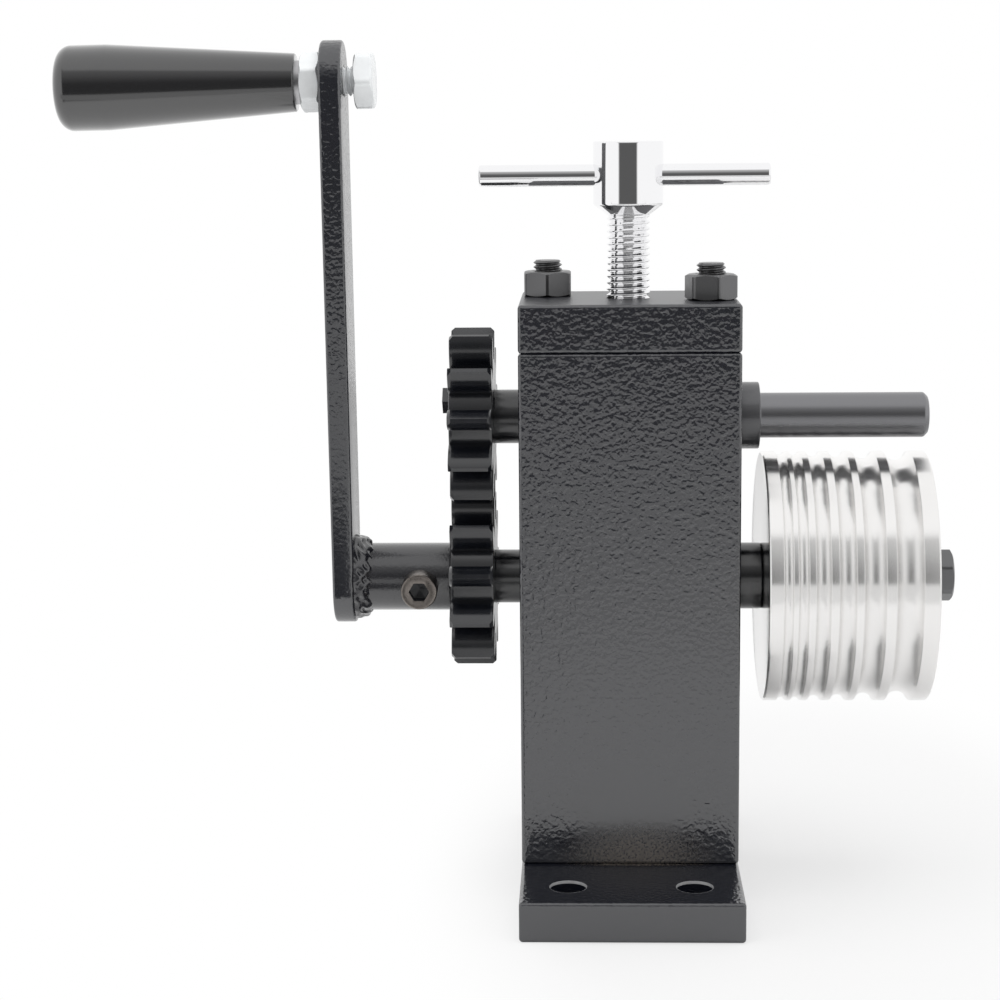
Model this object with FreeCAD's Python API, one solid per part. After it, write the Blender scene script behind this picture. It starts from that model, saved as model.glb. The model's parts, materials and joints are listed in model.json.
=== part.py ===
import FreeCAD, Part
import math
import os

from FreeCAD import Vector

os.makedirs("parts", exist_ok=True)

# A ring roller: two geared shafts in a block, closed on each other by a screw.
# All sizes are in millimetres and all angles in degrees.
# X runs right along the shafts, Y runs away from the viewer, Z runs up.
# The origin is on the underside of the base, below the pressure screw.

# Block, base and cap
block_width = 60.0
block_depth = 50.0
block_height = 142.0
base_thickness = 11.0
cap_thickness = 13.0
foot_reach = 32.5
edge_round = 1.0
foot_hole_diameter = 10.0
foot_hole_x = 17.0
foot_hole_y = 44.0

# Rollers, their gap at rest and when closed, and the travel above rest
former_diameter = 12.5
roller_diameter = 70.0
roller_gap = 4.25
closed_gap = 0.35
lift_travel = 2.0
shaft_drop = 20.0

# Clearances, all on the radius or on one side
running_gap = 0.03
screw_gap = 0.05
slide_gap = 0.05
seat_gap = 0.02
free_gap = 0.3

# Shafts and bushes
stub_diameter = 15.0
crank_seat_diameter = 12.0
journal_diameter = 16.0
boss_diameter = 18.6
boss_width = 6.8
bush_diameter = 20.0
bush_length = 16.0
former_length = 46.7
former_collar_width = 5.9
former_chamfer = 1.2

# Bearing block
bearing_width = 30.0
bearing_sill = 17.3
spring_diameter = 8.0
spring_wire = 1.2
spring_x = 9.0
spring_seat_wall = 4.2
pocket_clearance = 2.0

# Gears, whose pitch circles touch when the rollers would
gear_teeth = 11
gear_addendum = 4.375
gear_root_clearance = 0.05
pressure_angle = 20.0
gear_backlash = 0.2
gear_width = 12.0
gear_chamfer = 1.0
gear_standoff = 7.4
upper_gear_turn = 4.7
lower_gear_turn = 11.1

# Keys
gear_key_size = 5.0
gear_key_depth = 3.0
gear_key_angle = 43.0
gear_key_overhang = 2.1
gear_key_inset = 0.4
roller_key_height = 4.0
roller_key_length = 16.0

# Grooved roller, listed from the block outwards
roller_width = 45.6
roller_rim = 3.9
groove_widths = [2.6, 2.8, 4.0, 4.6, 5.9, 7.2]
land_widths = [1.3, 1.85, 2.2, 2.0, 2.75]
groove_depth_ratio = 0.36
roller_edge = 0.4

# Fasteners
m8 = 8.0
m8_flats = 13.0
m8_head = 5.3
hex_face_ratio = 0.95
hex_chamfer_angle = 30.0
roller_bolt_length = 25.0
roller_washer_diameter = 22.0
roller_washer_thickness = 2.6
stud_x = 22.4
stud_y = 8.4
stud_seat_wall = 1.7
stud_showing = 10.0
stud_hole_gap = 0.25
cap_nut_height = 7.0
left_nut_turn = 30.0
right_nut_turn = 14.0

# Pressure screw and its bar
screw_diameter = 12.0
screw_pilot_diameter = 8.0
screw_pilot_length = 5.0
screw_head_diameter = 19.3
screw_head_height = 17.2
screw_head_taper = 2.7
screw_head_chamfer = 0.5
screw_showing = 22.9
tommy_height = 10.7
tommy_diameter = 6.0
tommy_length = 80.0
tommy_shift = -1.1
tommy_chamfer = 0.8

# Crank
crank_lean = 4.0
crank_radius = 138.3
arm_thickness = 6.0
arm_width = 22.0
arm_tail = 12.9
arm_edge = 0.6
hub_diameter = 19.0
hub_length = 27.0
hub_shaft_gap = 2.0
weld_width = 5.2
weld_height = 2.7
weld_bulge = 0.5
clamp_diameter = 6.0
clamp_head_diameter = 10.0
clamp_head_height = 6.0
clamp_head_reach = 17.0
clamp_tip_depth = 2.0
clamp_inset = 8.4
clamp_socket_flats = 5.0
clamp_socket_depth = 3.0

# Handle
handle_flats = 14.4
handle_bolt_turn = 28.7
lock_nut_turn = -2.8
lock_nut_thickness = 5.4
handle_droop = 0.9
lock_nut_gap = 0.2
grip_length = 65.3
grip_big_diameter = 23.0
grip_small_diameter = 15.6
grip_straight = 14.0
grip_corner = 4.0
grip_dome = 0.6
grip_edge = 0.5
insert_diameter = 11.7
insert_length = 40.0
insert_showing = 1.2
bolt_head_gap = 3.0
bolt_grip_depth = 38.0
pivot_gap = 0.08

# Heights that follow from the sizes above
block_bottom = base_thickness
block_top = block_bottom + block_height
cap_top = block_top + cap_thickness
upper_z = block_top - shaft_drop
touching_centres = (former_diameter + roller_diameter) / 2
lower_z = upper_z - touching_centres - roller_gap
press_travel = roller_gap - closed_gap
slot_width = stub_diameter + 2 * free_gap
stud_bottom = upper_z + lift_travel + slot_width / 2 + stud_seat_wall
bearing_top = block_top - lift_travel - free_gap
bearing_bottom = upper_z - bearing_sill
pocket_floor = bearing_bottom - press_travel - pocket_clearance
spring_floor = lower_z + bush_diameter / 2 + spring_seat_wall

# Positions along the shafts that follow from the sizes above
left_face = -block_width / 2
right_face = block_width / 2
gear_right = left_face - gear_standoff
gear_left = gear_right - gear_width
hub_left = gear_left - free_gap - hub_length
arm_left = hub_left - arm_thickness
shaft_left = hub_left + hub_shaft_gap
boss_left = right_face + free_gap
boss_right = boss_left + boss_width
roller_right = boss_right + roller_width
bolt_head_left = roller_right + roller_washer_thickness
nut_left = arm_left - lock_nut_gap - lock_nut_thickness
grip_right = nut_left - insert_showing
handle_head_left = hub_left + bolt_head_gap


def box(left, right, front, back, bottom, top):
    """Return a block between three pairs of coordinates."""
    corner = Vector(left, front, bottom)
    return Part.makeBox(right - left, back - front, top - bottom, corner)


def rod_x(diameter, left, right, y=0.0, z=0.0):
    """Return a round bar along X."""
    return Part.makeCylinder(diameter / 2, right - left, Vector(left, y, z), Vector(1, 0, 0))


def rod_z(diameter, bottom, top, x=0.0, y=0.0):
    """Return a round bar along Z."""
    return Part.makeCylinder(diameter / 2, top - bottom, Vector(x, y, bottom))


def hex_prism(flats, bottom, top, x, y, turn):
    """Return a plain upright hexagon; turn is the angle of one face from the front."""
    radius = flats / math.sqrt(3)
    corners = []
    for step in range(7):
        angle = math.radians(turn - 30 + 60 * step)
        corners.append(Vector(x - radius * math.sin(angle), y - radius * math.cos(angle), bottom))
    face = Part.Face(Part.makePolygon(corners))
    return face.extrude(Vector(0, 0, top - bottom))


def hex_z(flats, bottom, top, x, y, turn):
    """Return an upright hexagon with its corners cut back by a cone at both ends."""
    corner = flats / math.sqrt(3)
    circle = hex_face_ratio * flats / 2
    drop = (corner - circle) * math.tan(math.radians(hex_chamfer_angle))
    points = [
        Vector(0, 0, bottom),
        Vector(circle, 0, bottom),
        Vector(corner, 0, bottom + drop),
        Vector(corner, 0, top - drop),
        Vector(circle, 0, top),
        Vector(0, 0, top),
    ]
    disc = turned(outline(points), Vector(0, 0, 0), Vector(0, 0, 1))
    disc.translate(Vector(x, y, 0))
    return hex_prism(flats, bottom, top, x, y, turn).common(disc)


def hex_x(flats, left, right, z, turn):
    """Return a hexagon lying along X; turn is the angle of one face above the front."""
    upright = hex_z(flats, 0, right - left, 0, 0, turn)
    upright.rotate(Vector(0, 0, 0), Vector(0, 1, 0), 90)
    upright.translate(Vector(left, 0, z))
    return upright


def turned(edges, centre, axis):
    """Return the solid swept by a closed outline round an axis."""
    return Part.Face(Part.Wire(edges)).revolve(centre, axis, 360)


def outline(points):
    """Return the straight edges that join a list of points and close on the first."""
    edges = []
    for number, point in enumerate(points):
        edges.append(Part.LineSegment(points[number - 1], point).toShape())
    return edges


def with_crank(shape):
    """Return a shape built upright, leaned with the crank about the lower shaft."""
    shape.rotate(Vector(0, 0, lower_z), Vector(1, 0, 0), crank_lean)
    return shape


def with_handle(shape):
    """Return a handle piece, tipped by the play of its bolt and leaned with the crank."""
    middle = Vector(hub_left - arm_thickness / 2, 0, lower_z + crank_radius)
    shape.rotate(middle, Vector(0, 1, 0), -handle_droop)
    return with_crank(shape)


def save(name, *solids):
    """Write one named piece, or a group of separate equal pieces, to its own file."""
    shape = solids[0] if len(solids) == 1 else Part.makeCompound(list(solids))
    shape.exportStep("parts/" + name + ".step")


# Base, block and cap

def make_base_plate():
    reach = block_depth / 2 + foot_reach
    plate = box(left_face, right_face, -reach, reach, 0, base_thickness)
    plate = plate.makeFillet(edge_round, plate.Edges)
    for x in (-foot_hole_x, foot_hole_x):
        for y in (-foot_hole_y, foot_hole_y):
            plate = plate.cut(rod_z(foot_hole_diameter, 0, base_thickness, x, y))
    return plate


def shaft_slot():
    """Return the oblong opening that lets the upper shaft rise and fall."""
    top = upper_z + lift_travel
    bottom = upper_z - press_travel
    upper_end = rod_x(slot_width, left_face, right_face, z=top)
    lower_end = rod_x(slot_width, left_face, right_face, z=bottom)
    middle = box(left_face, right_face, -slot_width / 2, slot_width / 2, bottom, top)
    return upper_end.fuse([lower_end, middle])


def make_column_block():
    half_depth = block_depth / 2
    half_pocket = bearing_width / 2
    block = box(left_face, right_face, -half_depth, half_depth, block_bottom, block_top)
    block = block.makeFillet(edge_round, block.Edges)
    pocket = box(-half_pocket, half_pocket, -half_pocket, half_pocket, pocket_floor, block_top)
    bush_bore = rod_x(bush_diameter, left_face, right_face, z=lower_z)
    block = block.cut([pocket, shaft_slot(), bush_bore])
    for side in (-1, 1):
        spring_bore = rod_z(spring_diameter + 2 * free_gap, spring_floor, pocket_floor, side * spring_x)
        stud_bore = rod_z(m8 + 2 * seat_gap, stud_bottom, block_top, side * stud_x, -side * stud_y)
        block = block.cut([spring_bore, stud_bore])
    return block


def make_cap_plate():
    half_depth = block_depth / 2
    cap = box(left_face, right_face, -half_depth, half_depth, block_top, cap_top)
    cap = cap.makeFillet(edge_round, cap.Edges)
    cap = cap.cut(rod_z(screw_diameter + 2 * screw_gap, block_top, cap_top))
    for side in (-1, 1):
        cap = cap.cut(rod_z(m8 + 2 * stud_hole_gap, block_top, cap_top, side * stud_x, -side * stud_y))
    return cap


def make_cap_studs():
    studs = []
    for side in (-1, 1):
        studs.append(rod_z(m8, stud_bottom, cap_top + stud_showing, side * stud_x, -side * stud_y))
    return studs


def make_cap_nuts():
    nuts = []
    for side, turn in ((-1, left_nut_turn), (1, right_nut_turn)):
        x = side * stud_x
        y = -side * stud_y
        nut = hex_z(m8_flats, cap_top, cap_top + cap_nut_height, x, y, turn)
        nuts.append(nut.cut(rod_z(m8 + 2 * seat_gap, cap_top, cap_top + cap_nut_height, x, y)))
    return nuts


# Bearing block, springs and screw

def make_bearing_block():
    half = bearing_width / 2 - slide_gap
    block = box(-half, half, -half, half, bearing_bottom, bearing_top)
    bush_bore = rod_x(bush_diameter, -half, half, z=upper_z)
    pilot_bore = rod_z(screw_pilot_diameter + 2 * screw_gap,
                       bearing_top - screw_pilot_length - screw_gap, bearing_top)
    return block.cut([bush_bore, pilot_bore])


def make_bearing_bush():
    half = bearing_width / 2 - slide_gap
    bush = rod_x(bush_diameter - 2 * seat_gap, -half, half, z=upper_z)
    return bush.cut(rod_x(stub_diameter + 2 * running_gap, -half, half, z=upper_z))


def make_lift_springs():
    springs = []
    for side in (-1, 1):
        x = side * spring_x
        coil = rod_z(spring_diameter, spring_floor, bearing_bottom, x)
        springs.append(coil.cut(rod_z(spring_diameter - 2 * spring_wire, spring_floor, bearing_bottom, x)))
    return springs


def make_pressure_screw():
    """Return the screw: pilot, threaded length, tapered collar and drilled head."""
    shoulder = bearing_top + screw_gap
    neck = cap_top + screw_showing
    head_bottom = neck + screw_head_taper
    head_top = head_bottom + screw_head_height
    pilot = screw_pilot_diameter / 2
    shank = screw_diameter / 2
    head = screw_head_diameter / 2
    points = [
        Vector(0, 0, shoulder - screw_pilot_length),
        Vector(pilot, 0, shoulder - screw_pilot_length),
        Vector(pilot, 0, shoulder),
        Vector(shank, 0, shoulder),
        Vector(shank, 0, neck),
        Vector(head, 0, head_bottom),
        Vector(head, 0, head_top - screw_head_chamfer),
        Vector(head - screw_head_chamfer, 0, head_top),
        Vector(0, 0, head_top),
    ]
    screw = turned(outline(points), Vector(0, 0, 0), Vector(0, 0, 1))
    cross_hole = rod_x(tommy_diameter + 2 * seat_gap, -head, head, z=neck + tommy_height)
    return screw.cut(cross_hole)


def make_tommy_bar():
    left = tommy_shift - tommy_length / 2
    bar = rod_x(tommy_diameter, left, left + tommy_length, z=cap_top + screw_showing + tommy_height)
    ends = [edge for edge in bar.Edges if edge.BoundBox.XLength < 0.01]
    return bar.makeChamfer(tommy_chamfer, ends)


# Gears and keys

def involute(angle):
    return math.tan(angle) - angle


def gear_blank(turn):
    """Return the toothed disc about X; turn is the angle of one tooth above the front.

    The flanks are arcs through the root, the middle and the tip of a true involute.
    """
    slope = math.radians(pressure_angle)
    pitch_radius = touching_centres / 2
    base_radius = pitch_radius * math.cos(slope)
    tip_radius = pitch_radius + gear_addendum
    root_radius = pitch_radius - gear_addendum - gear_root_clearance
    flank_radius = (base_radius + tip_radius) / 2
    pitch_half = math.pi / (2 * gear_teeth) - gear_backlash / (2 * pitch_radius)
    tooth_angle = 2 * math.pi / gear_teeth

    def half_angle(radius):
        if radius <= base_radius:
            return pitch_half + involute(slope)
        return pitch_half + involute(slope) - involute(math.acos(base_radius / radius))

    def point(radius, angle):
        return Vector(gear_left, -radius * math.cos(angle), radius * math.sin(angle))

    edges = []
    for tooth in range(gear_teeth):
        middle = math.radians(turn) + tooth * tooth_angle
        radii = (root_radius, flank_radius, tip_radius)
        lower = [point(radius, middle - half_angle(radius)) for radius in radii]
        upper = [point(radius, middle + half_angle(radius)) for radius in radii]
        next_root = point(root_radius, middle + tooth_angle - half_angle(root_radius))
        edges.append(Part.Arc(lower[0], lower[1], lower[2]).toShape())
        edges.append(Part.Arc(lower[2], point(tip_radius, middle), upper[2]).toShape())
        edges.append(Part.Arc(upper[2], upper[1], upper[0]).toShape())
        valley = point(root_radius, middle + tooth_angle / 2)
        edges.append(Part.Arc(upper[0], valley, next_root).toShape())
    toothed = Part.Face(Part.Wire(edges)).extrude(Vector(gear_width, 0, 0))
    rim = rod_x(2 * (tip_radius + seat_gap), gear_left, gear_right)
    rims = [edge for edge in rim.Edges if edge.BoundBox.XLength < 0.01]
    return toothed.common(rim.makeChamfer(gear_chamfer, rims))


def key_bar(size, height, depth, shaft_diameter, left, right, z, angle, gap=0.0):
    """Return a key that stands in a shaft; angle leans it from the top to the front."""
    bottom = shaft_diameter / 2 - depth - gap
    top = bottom + height + 2 * gap
    bar = box(left - gap, right + gap, -size / 2 - gap, size / 2 + gap, z + bottom, z + top)
    bar.rotate(Vector(0, 0, z), Vector(1, 0, 0), angle)
    return bar


def gear_key(z, overhang, gap=0.0):
    """Return a gear key, or with a gap the keyway that holds it."""
    return key_bar(gear_key_size, gear_key_size, gear_key_depth, stub_diameter,
                   gear_left - overhang, gear_right - gear_key_inset, z, gear_key_angle, gap)


def make_gear(turn, z):
    """Return a gear with its bore and a keyway cut right through it."""
    gear = gear_blank(turn)
    gear.translate(Vector(0, 0, z))
    bore = rod_x(stub_diameter + 2 * seat_gap, gear_left, gear_right, z=z)
    keyway = key_bar(gear_key_size, gear_key_size, gear_key_depth, stub_diameter,
                     gear_left, gear_right, z, gear_key_angle, seat_gap)
    return gear.cut([bore, keyway])


# Upper shaft

def make_upper_shaft():
    """Return the shaft with its collar and the plain former that wires are bent round."""
    former_left = boss_left + former_collar_width
    former_right = former_left + former_length
    stub = rod_x(stub_diameter, gear_left, boss_left, z=upper_z)
    collar = rod_x(boss_diameter, boss_left, former_left, z=upper_z)
    former = rod_x(former_diameter, former_left, former_right, z=upper_z)
    end = [edge for edge in former.Edges if edge.BoundBox.XMin > former_right - 0.01]
    shaft = stub.fuse([collar, former.makeChamfer(former_chamfer, end)]).removeSplitter()
    return shaft.cut(gear_key(upper_z, gear_key_overhang, seat_gap))


# Lower shaft and grooved roller

def make_lower_shaft():
    """Return the shaft: crank seat, gear end, journal, boss and roller seat."""
    shoulder = left_face + bush_length + free_gap
    seat = rod_x(crank_seat_diameter, shaft_left, gear_left, z=lower_z)
    stub = rod_x(stub_diameter, gear_left, shoulder, z=lower_z)
    journal = rod_x(journal_diameter, shoulder, roller_right - free_gap, z=lower_z)
    boss = rod_x(boss_diameter, boss_left, boss_right, z=lower_z)
    shaft = seat.fuse([stub, journal, boss]).removeSplitter()
    bolt_hole = rod_x(m8 + 2 * seat_gap, bolt_head_left - roller_bolt_length - free_gap,
                      roller_right, z=lower_z)
    shaft = shaft.cut([gear_key(lower_z, -free_gap, seat_gap), roller_key_bar(seat_gap), bolt_hole])
    return shaft.cut(clamp_tip(seat_gap))


def roller_key_bar(gap=0.0):
    left = boss_right + free_gap
    return key_bar(gear_key_size, roller_key_height, gear_key_depth, journal_diameter,
                   left, left + roller_key_length, lower_z, 0, gap)


def make_bush(left, bore):
    bush = rod_x(bush_diameter - 2 * seat_gap, left, left + bush_length, z=lower_z)
    return bush.cut(rod_x(bore + 2 * running_gap, left, left + bush_length, z=lower_z))


def make_grooved_roller():
    """Return the roller: round-bottomed grooves that widen away from the block."""
    radius = roller_diameter / 2
    lands = [roller_rim] + land_widths
    start = Vector(boss_right, 0, lower_z + radius - roller_edge)
    cursor = Vector(boss_right + roller_edge, 0, lower_z + radius)
    inner = journal_diameter / 2 + seat_gap
    edges = [
        Part.LineSegment(Vector(boss_right, 0, lower_z + inner), start).toShape(),
        Part.LineSegment(start, cursor).toShape(),
    ]
    groove_left = boss_right
    for land, groove in zip(lands, groove_widths):
        groove_left += land
        near = Vector(groove_left, 0, lower_z + radius)
        deep = Vector(groove_left + groove / 2, 0, near.z - groove * groove_depth_ratio)
        far = Vector(groove_left + groove, 0, near.z)
        edges.append(Part.LineSegment(cursor, near).toShape())
        edges.append(Part.Arc(near, deep, far).toShape())
        cursor = far
        groove_left += groove
    corner = Vector(roller_right - roller_edge, 0, lower_z + radius)
    end = Vector(roller_right, 0, lower_z + radius - roller_edge)
    bore_right = Vector(roller_right, 0, lower_z + inner)
    edges.append(Part.LineSegment(cursor, corner).toShape())
    edges.append(Part.LineSegment(corner, end).toShape())
    edges.append(Part.LineSegment(end, bore_right).toShape())
    edges.append(Part.LineSegment(bore_right, Vector(boss_right, 0, lower_z + inner)).toShape())
    roller = turned(edges, Vector(0, 0, lower_z), Vector(1, 0, 0))
    keyway = key_bar(gear_key_size, roller_key_height, gear_key_depth, journal_diameter,
                     boss_right, roller_right, lower_z, 0, seat_gap)
    return roller.cut(keyway)


def make_roller_bolt():
    head = hex_x(m8_flats, bolt_head_left, bolt_head_left + m8_head, lower_z, 0)
    shank = rod_x(m8, bolt_head_left - roller_bolt_length, bolt_head_left, z=lower_z)
    return head.fuse(shank).removeSplitter()


def make_roller_washer():
    washer = rod_x(roller_washer_diameter, roller_right, bolt_head_left, z=lower_z)
    return washer.cut(rod_x(m8 + 2 * seat_gap, roller_right, bolt_head_left, z=lower_z))


# Crank

def crank_rod_y(diameter, near, far):
    """Return a round bar that points from the crank hub to the front, then leans with it."""
    x = gear_left - free_gap - clamp_inset
    bar = Part.makeCylinder(diameter / 2, far - near, Vector(x, -far, lower_z), Vector(0, 1, 0))
    return with_crank(bar)


def clamp_tip(gap=0.0):
    near = crank_seat_diameter / 2 - clamp_tip_depth - gap
    return crank_rod_y(clamp_diameter + 2 * gap, near, stub_diameter)


def make_crank_hub():
    hub_right = hub_left + hub_length
    hub = rod_x(hub_diameter, hub_left, hub_right, z=lower_z)
    hub = hub.cut(rod_x(crank_seat_diameter + 2 * seat_gap, hub_left, hub_right, z=lower_z))
    return hub.cut(clamp_tip(seat_gap))


def make_crank_arm():
    """Return the flat arm with two round ends and the hole for the handle bolt."""
    half = arm_width / 2
    top = lower_z + crank_radius
    bottom = lower_z - arm_tail + half
    arm = box(arm_left, hub_left, -half, half, bottom, top)
    top_end = rod_x(arm_width, arm_left, hub_left, z=top)
    bottom_end = rod_x(arm_width, arm_left, hub_left, z=bottom)
    arm = arm.fuse([top_end, bottom_end])
    arm = arm.removeSplitter()
    rims = [edge for edge in arm.Edges if edge.BoundBox.XLength < 0.01]
    arm = arm.makeChamfer(arm_edge, rims)
    return with_crank(arm.cut(rod_x(m8 + 2 * pivot_gap, arm_left, hub_left, z=top)))


def make_crank_weld():
    """Return the bead between the hub and the arm, bulging a little."""
    hub = hub_diameter / 2 + seat_gap
    foot = Vector(hub_left, 0, lower_z + hub)
    crest = Vector(hub_left, 0, lower_z + hub + weld_height)
    toe = Vector(hub_left + weld_width, 0, lower_z + hub)
    middle = (crest + toe) / 2 + Vector(weld_bulge, 0, weld_bulge)
    edges = [
        Part.LineSegment(foot, crest).toShape(),
        Part.Arc(crest, middle, toe).toShape(),
        Part.LineSegment(toe, foot).toShape(),
    ]
    return with_crank(turned(edges, Vector(0, 0, lower_z), Vector(1, 0, 0)))


def make_clamp_screw():
    """Return the socket screw that locks the hub on the shaft."""
    neck = clamp_head_reach - clamp_head_height
    head = crank_rod_y(clamp_head_diameter, neck, clamp_head_reach)
    shank = crank_rod_y(clamp_diameter, crank_seat_diameter / 2 - clamp_tip_depth, neck)
    x = gear_left - free_gap - clamp_inset
    socket = hex_prism(clamp_socket_flats, 0, clamp_socket_depth, 0, 0, 0)
    socket.rotate(Vector(0, 0, 0), Vector(1, 0, 0), 90)
    socket.translate(Vector(x, clamp_socket_depth - clamp_head_reach, lower_z))
    return head.fuse(shank).removeSplitter().cut(with_crank(socket))


# Handle

def handle_rod(diameter, left, right):
    return rod_x(diameter, left, right, z=lower_z + crank_radius)


def make_handle_bolt():
    right = handle_head_left + m8_head
    head = hex_x(handle_flats, handle_head_left, right, lower_z + crank_radius, handle_bolt_turn)
    shank = handle_rod(m8, grip_right - bolt_grip_depth, handle_head_left)
    return with_handle(head.fuse(shank).removeSplitter())


def make_handle_lock_nut():
    left = nut_left
    right = left + lock_nut_thickness
    nut = hex_x(handle_flats, left, right, lower_z + crank_radius, lock_nut_turn)
    return with_handle(nut.cut(handle_rod(m8 + 2 * seat_gap, left, right)))


def make_grip_insert():
    """Return the threaded tube in the grip, whose end shows before the lock nut."""
    left = grip_right - insert_length
    insert = handle_rod(insert_diameter, left, nut_left)
    return with_handle(insert.cut(handle_rod(m8 + 2 * seat_gap, left, nut_left)))


def make_handle_grip():
    """Return the tapered grip with a domed outer end and a blind bore for its insert."""
    centre = lower_z + crank_radius
    left = grip_right - grip_length
    big = grip_big_diameter / 2
    small = grip_small_diameter / 2
    half_corner = grip_corner * (1 - math.sqrt(0.5))
    pole = Vector(left, 0, centre)
    face_rim = Vector(left + grip_dome, 0, centre + big - grip_corner)
    corner_middle = Vector(left + grip_dome + half_corner, 0, centre + big - half_corner)
    side_start = Vector(left + grip_dome + grip_corner, 0, centre + big)
    taper_start = Vector(left + grip_straight, 0, centre + big)
    taper_end = Vector(grip_right - grip_edge, 0, centre + small)
    edge_end = Vector(grip_right, 0, centre + small - grip_edge)
    axis_end = Vector(grip_right, 0, centre)
    edges = [
        Part.LineSegment(pole, face_rim).toShape(),
        Part.Arc(face_rim, corner_middle, side_start).toShape(),
        Part.LineSegment(side_start, taper_start).toShape(),
        Part.LineSegment(taper_start, taper_end).toShape(),
        Part.LineSegment(taper_end, edge_end).toShape(),
        Part.LineSegment(edge_end, axis_end).toShape(),
        Part.LineSegment(axis_end, pole).toShape(),
    ]
    grip = turned(edges, Vector(0, 0, centre), Vector(1, 0, 0))
    bore = handle_rod(insert_diameter + 2 * seat_gap, grip_right - insert_length - seat_gap, grip_right)
    return with_handle(grip.cut(bore))


def main():
    save("base_plate", make_base_plate())
    save("column_block", make_column_block())
    save("cap_plate", make_cap_plate())
    save("cap_studs", *make_cap_studs())
    save("cap_nuts", *make_cap_nuts())
    save("lower_bush_left", make_bush(left_face, stub_diameter))
    save("lower_bush_right", make_bush(right_face - bush_length, journal_diameter))
    save("lift_springs", *make_lift_springs())
    save("bearing_block", make_bearing_block())
    save("bearing_bush", make_bearing_bush())
    save("pressure_screw", make_pressure_screw())
    save("tommy_bar", make_tommy_bar())
    save("upper_shaft", make_upper_shaft())
    save("driven_gear", make_gear(upper_gear_turn, upper_z))
    save("driven_gear_key", gear_key(upper_z, gear_key_overhang))
    save("lower_shaft", make_lower_shaft())
    save("drive_gear", make_gear(lower_gear_turn, lower_z))
    save("drive_gear_key", gear_key(lower_z, -free_gap))
    save("grooved_roller", make_grooved_roller())
    save("roller_key", roller_key_bar())
    save("roller_washer", make_roller_washer())
    save("roller_bolt", make_roller_bolt())
    save("crank_hub", make_crank_hub())
    save("crank_weld", make_crank_weld())
    save("crank_arm", make_crank_arm())
    save("clamp_screw", make_clamp_screw())
    save("handle_bolt", make_handle_bolt())
    save("handle_lock_nut", make_handle_lock_nut())
    save("grip_insert", make_grip_insert())
    save("handle_grip", make_handle_grip())


main()
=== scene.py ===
import json
import math

import bpy
import numpy as np
from mathutils import Matrix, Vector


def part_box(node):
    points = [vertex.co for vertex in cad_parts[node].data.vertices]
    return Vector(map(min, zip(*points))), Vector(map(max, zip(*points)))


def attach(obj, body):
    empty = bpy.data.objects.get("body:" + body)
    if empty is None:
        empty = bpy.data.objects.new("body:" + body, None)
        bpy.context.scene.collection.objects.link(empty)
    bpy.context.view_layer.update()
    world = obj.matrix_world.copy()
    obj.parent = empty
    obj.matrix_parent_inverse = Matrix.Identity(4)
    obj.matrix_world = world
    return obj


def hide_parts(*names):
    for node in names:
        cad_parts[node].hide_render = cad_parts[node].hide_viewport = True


bl_info = {
    "name": "Ring Roller",
    "version": (1, 0, 0),
    "blender": (4, 5, 0),
    "location": "View3D > Sidebar > Ring Roller",
    "description": "Dresses the frame of a bench ring roller: paint, steel, threads, grip and stage",
    "category": "Object",
}

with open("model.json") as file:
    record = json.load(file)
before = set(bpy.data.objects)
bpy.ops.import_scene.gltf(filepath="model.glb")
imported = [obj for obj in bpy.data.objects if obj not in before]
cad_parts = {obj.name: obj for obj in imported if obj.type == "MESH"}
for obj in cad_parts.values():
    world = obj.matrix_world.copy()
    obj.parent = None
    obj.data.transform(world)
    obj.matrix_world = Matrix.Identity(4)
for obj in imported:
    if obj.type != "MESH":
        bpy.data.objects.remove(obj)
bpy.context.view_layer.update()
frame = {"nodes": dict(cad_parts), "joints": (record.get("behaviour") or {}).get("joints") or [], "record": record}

MM = 0.001
PI = math.pi

# Directions as seen in the photo: the front faces the camera
RIGHT = np.array([1.0, 0.0, 0.0])
FRONT = np.array([0.0, -1.0, 0.0])
UP = np.array([0.0, 0.0, 1.0])


# Places taken from the frame, in metres

def low(node):
    """Return the lowest corner of a frame node."""
    return np.array(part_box(node)[0])


def high(node):
    """Return the highest corner of a frame node."""
    return np.array(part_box(node)[1])


def middle(node):
    """Return the centre of a frame node's box."""
    return (low(node) + high(node)) / 2


def joint_named(name):
    """Return one joint of the frame by its name."""
    return next(joint for joint in frame["joints"] if joint["name"] == name)


LOWER_Z = middle("lower_bush_left")[2]
UPPER_Z = middle("bearing_bush")[2]
CAP_TOP = high("cap_plate")[2]
CRANK_PIVOT = np.array([0.0, 0.0, LOWER_Z])
HANDLE_PIVOT = np.array(joint_named("handle_spin")["pos_m"])
HANDLE_AXIS = np.array(joint_named("handle_spin")["axis"])
CRANK_LEAN = math.atan2(-HANDLE_PIVOT[1], HANDLE_PIVOT[2] - LOWER_Z)

# Sizes that more than one piece uses
SHAFT_RADIUS = 7.5 * MM
COLLAR_RADIUS = 9.3 * MM
COLLAR_GAP = 0.3 * MM
FORMER_LENGTH = 46.7 * MM
CLAMP_HEAD_END = 17 * MM
CLAMP_SOCKET_FLATS = 5 * MM
M8_RADIUS = 4 * MM
M8_BORE = 4.02 * MM
M8_FLATS = 13 * MM
HANDLE_FLATS = 14.4 * MM
GEAR_TEETH = 11
GEAR_PITCH_RADIUS = 20.625 * MM
GEAR_TIP_RADIUS = 25.0 * MM
GEAR_ROOT_RADIUS = 16.2 * MM
GEAR_BACKLASH = 0.2 * MM
GEAR_KEY_ANGLE = 43.0

# An end face starts with a small ring round its middle, at this share of its radius
INNERMOST = 1 / 8

# A finish of one face only reaches this deep below it
SKIN = 0.25 * MM


# Sizes and colours that a user would change

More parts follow.
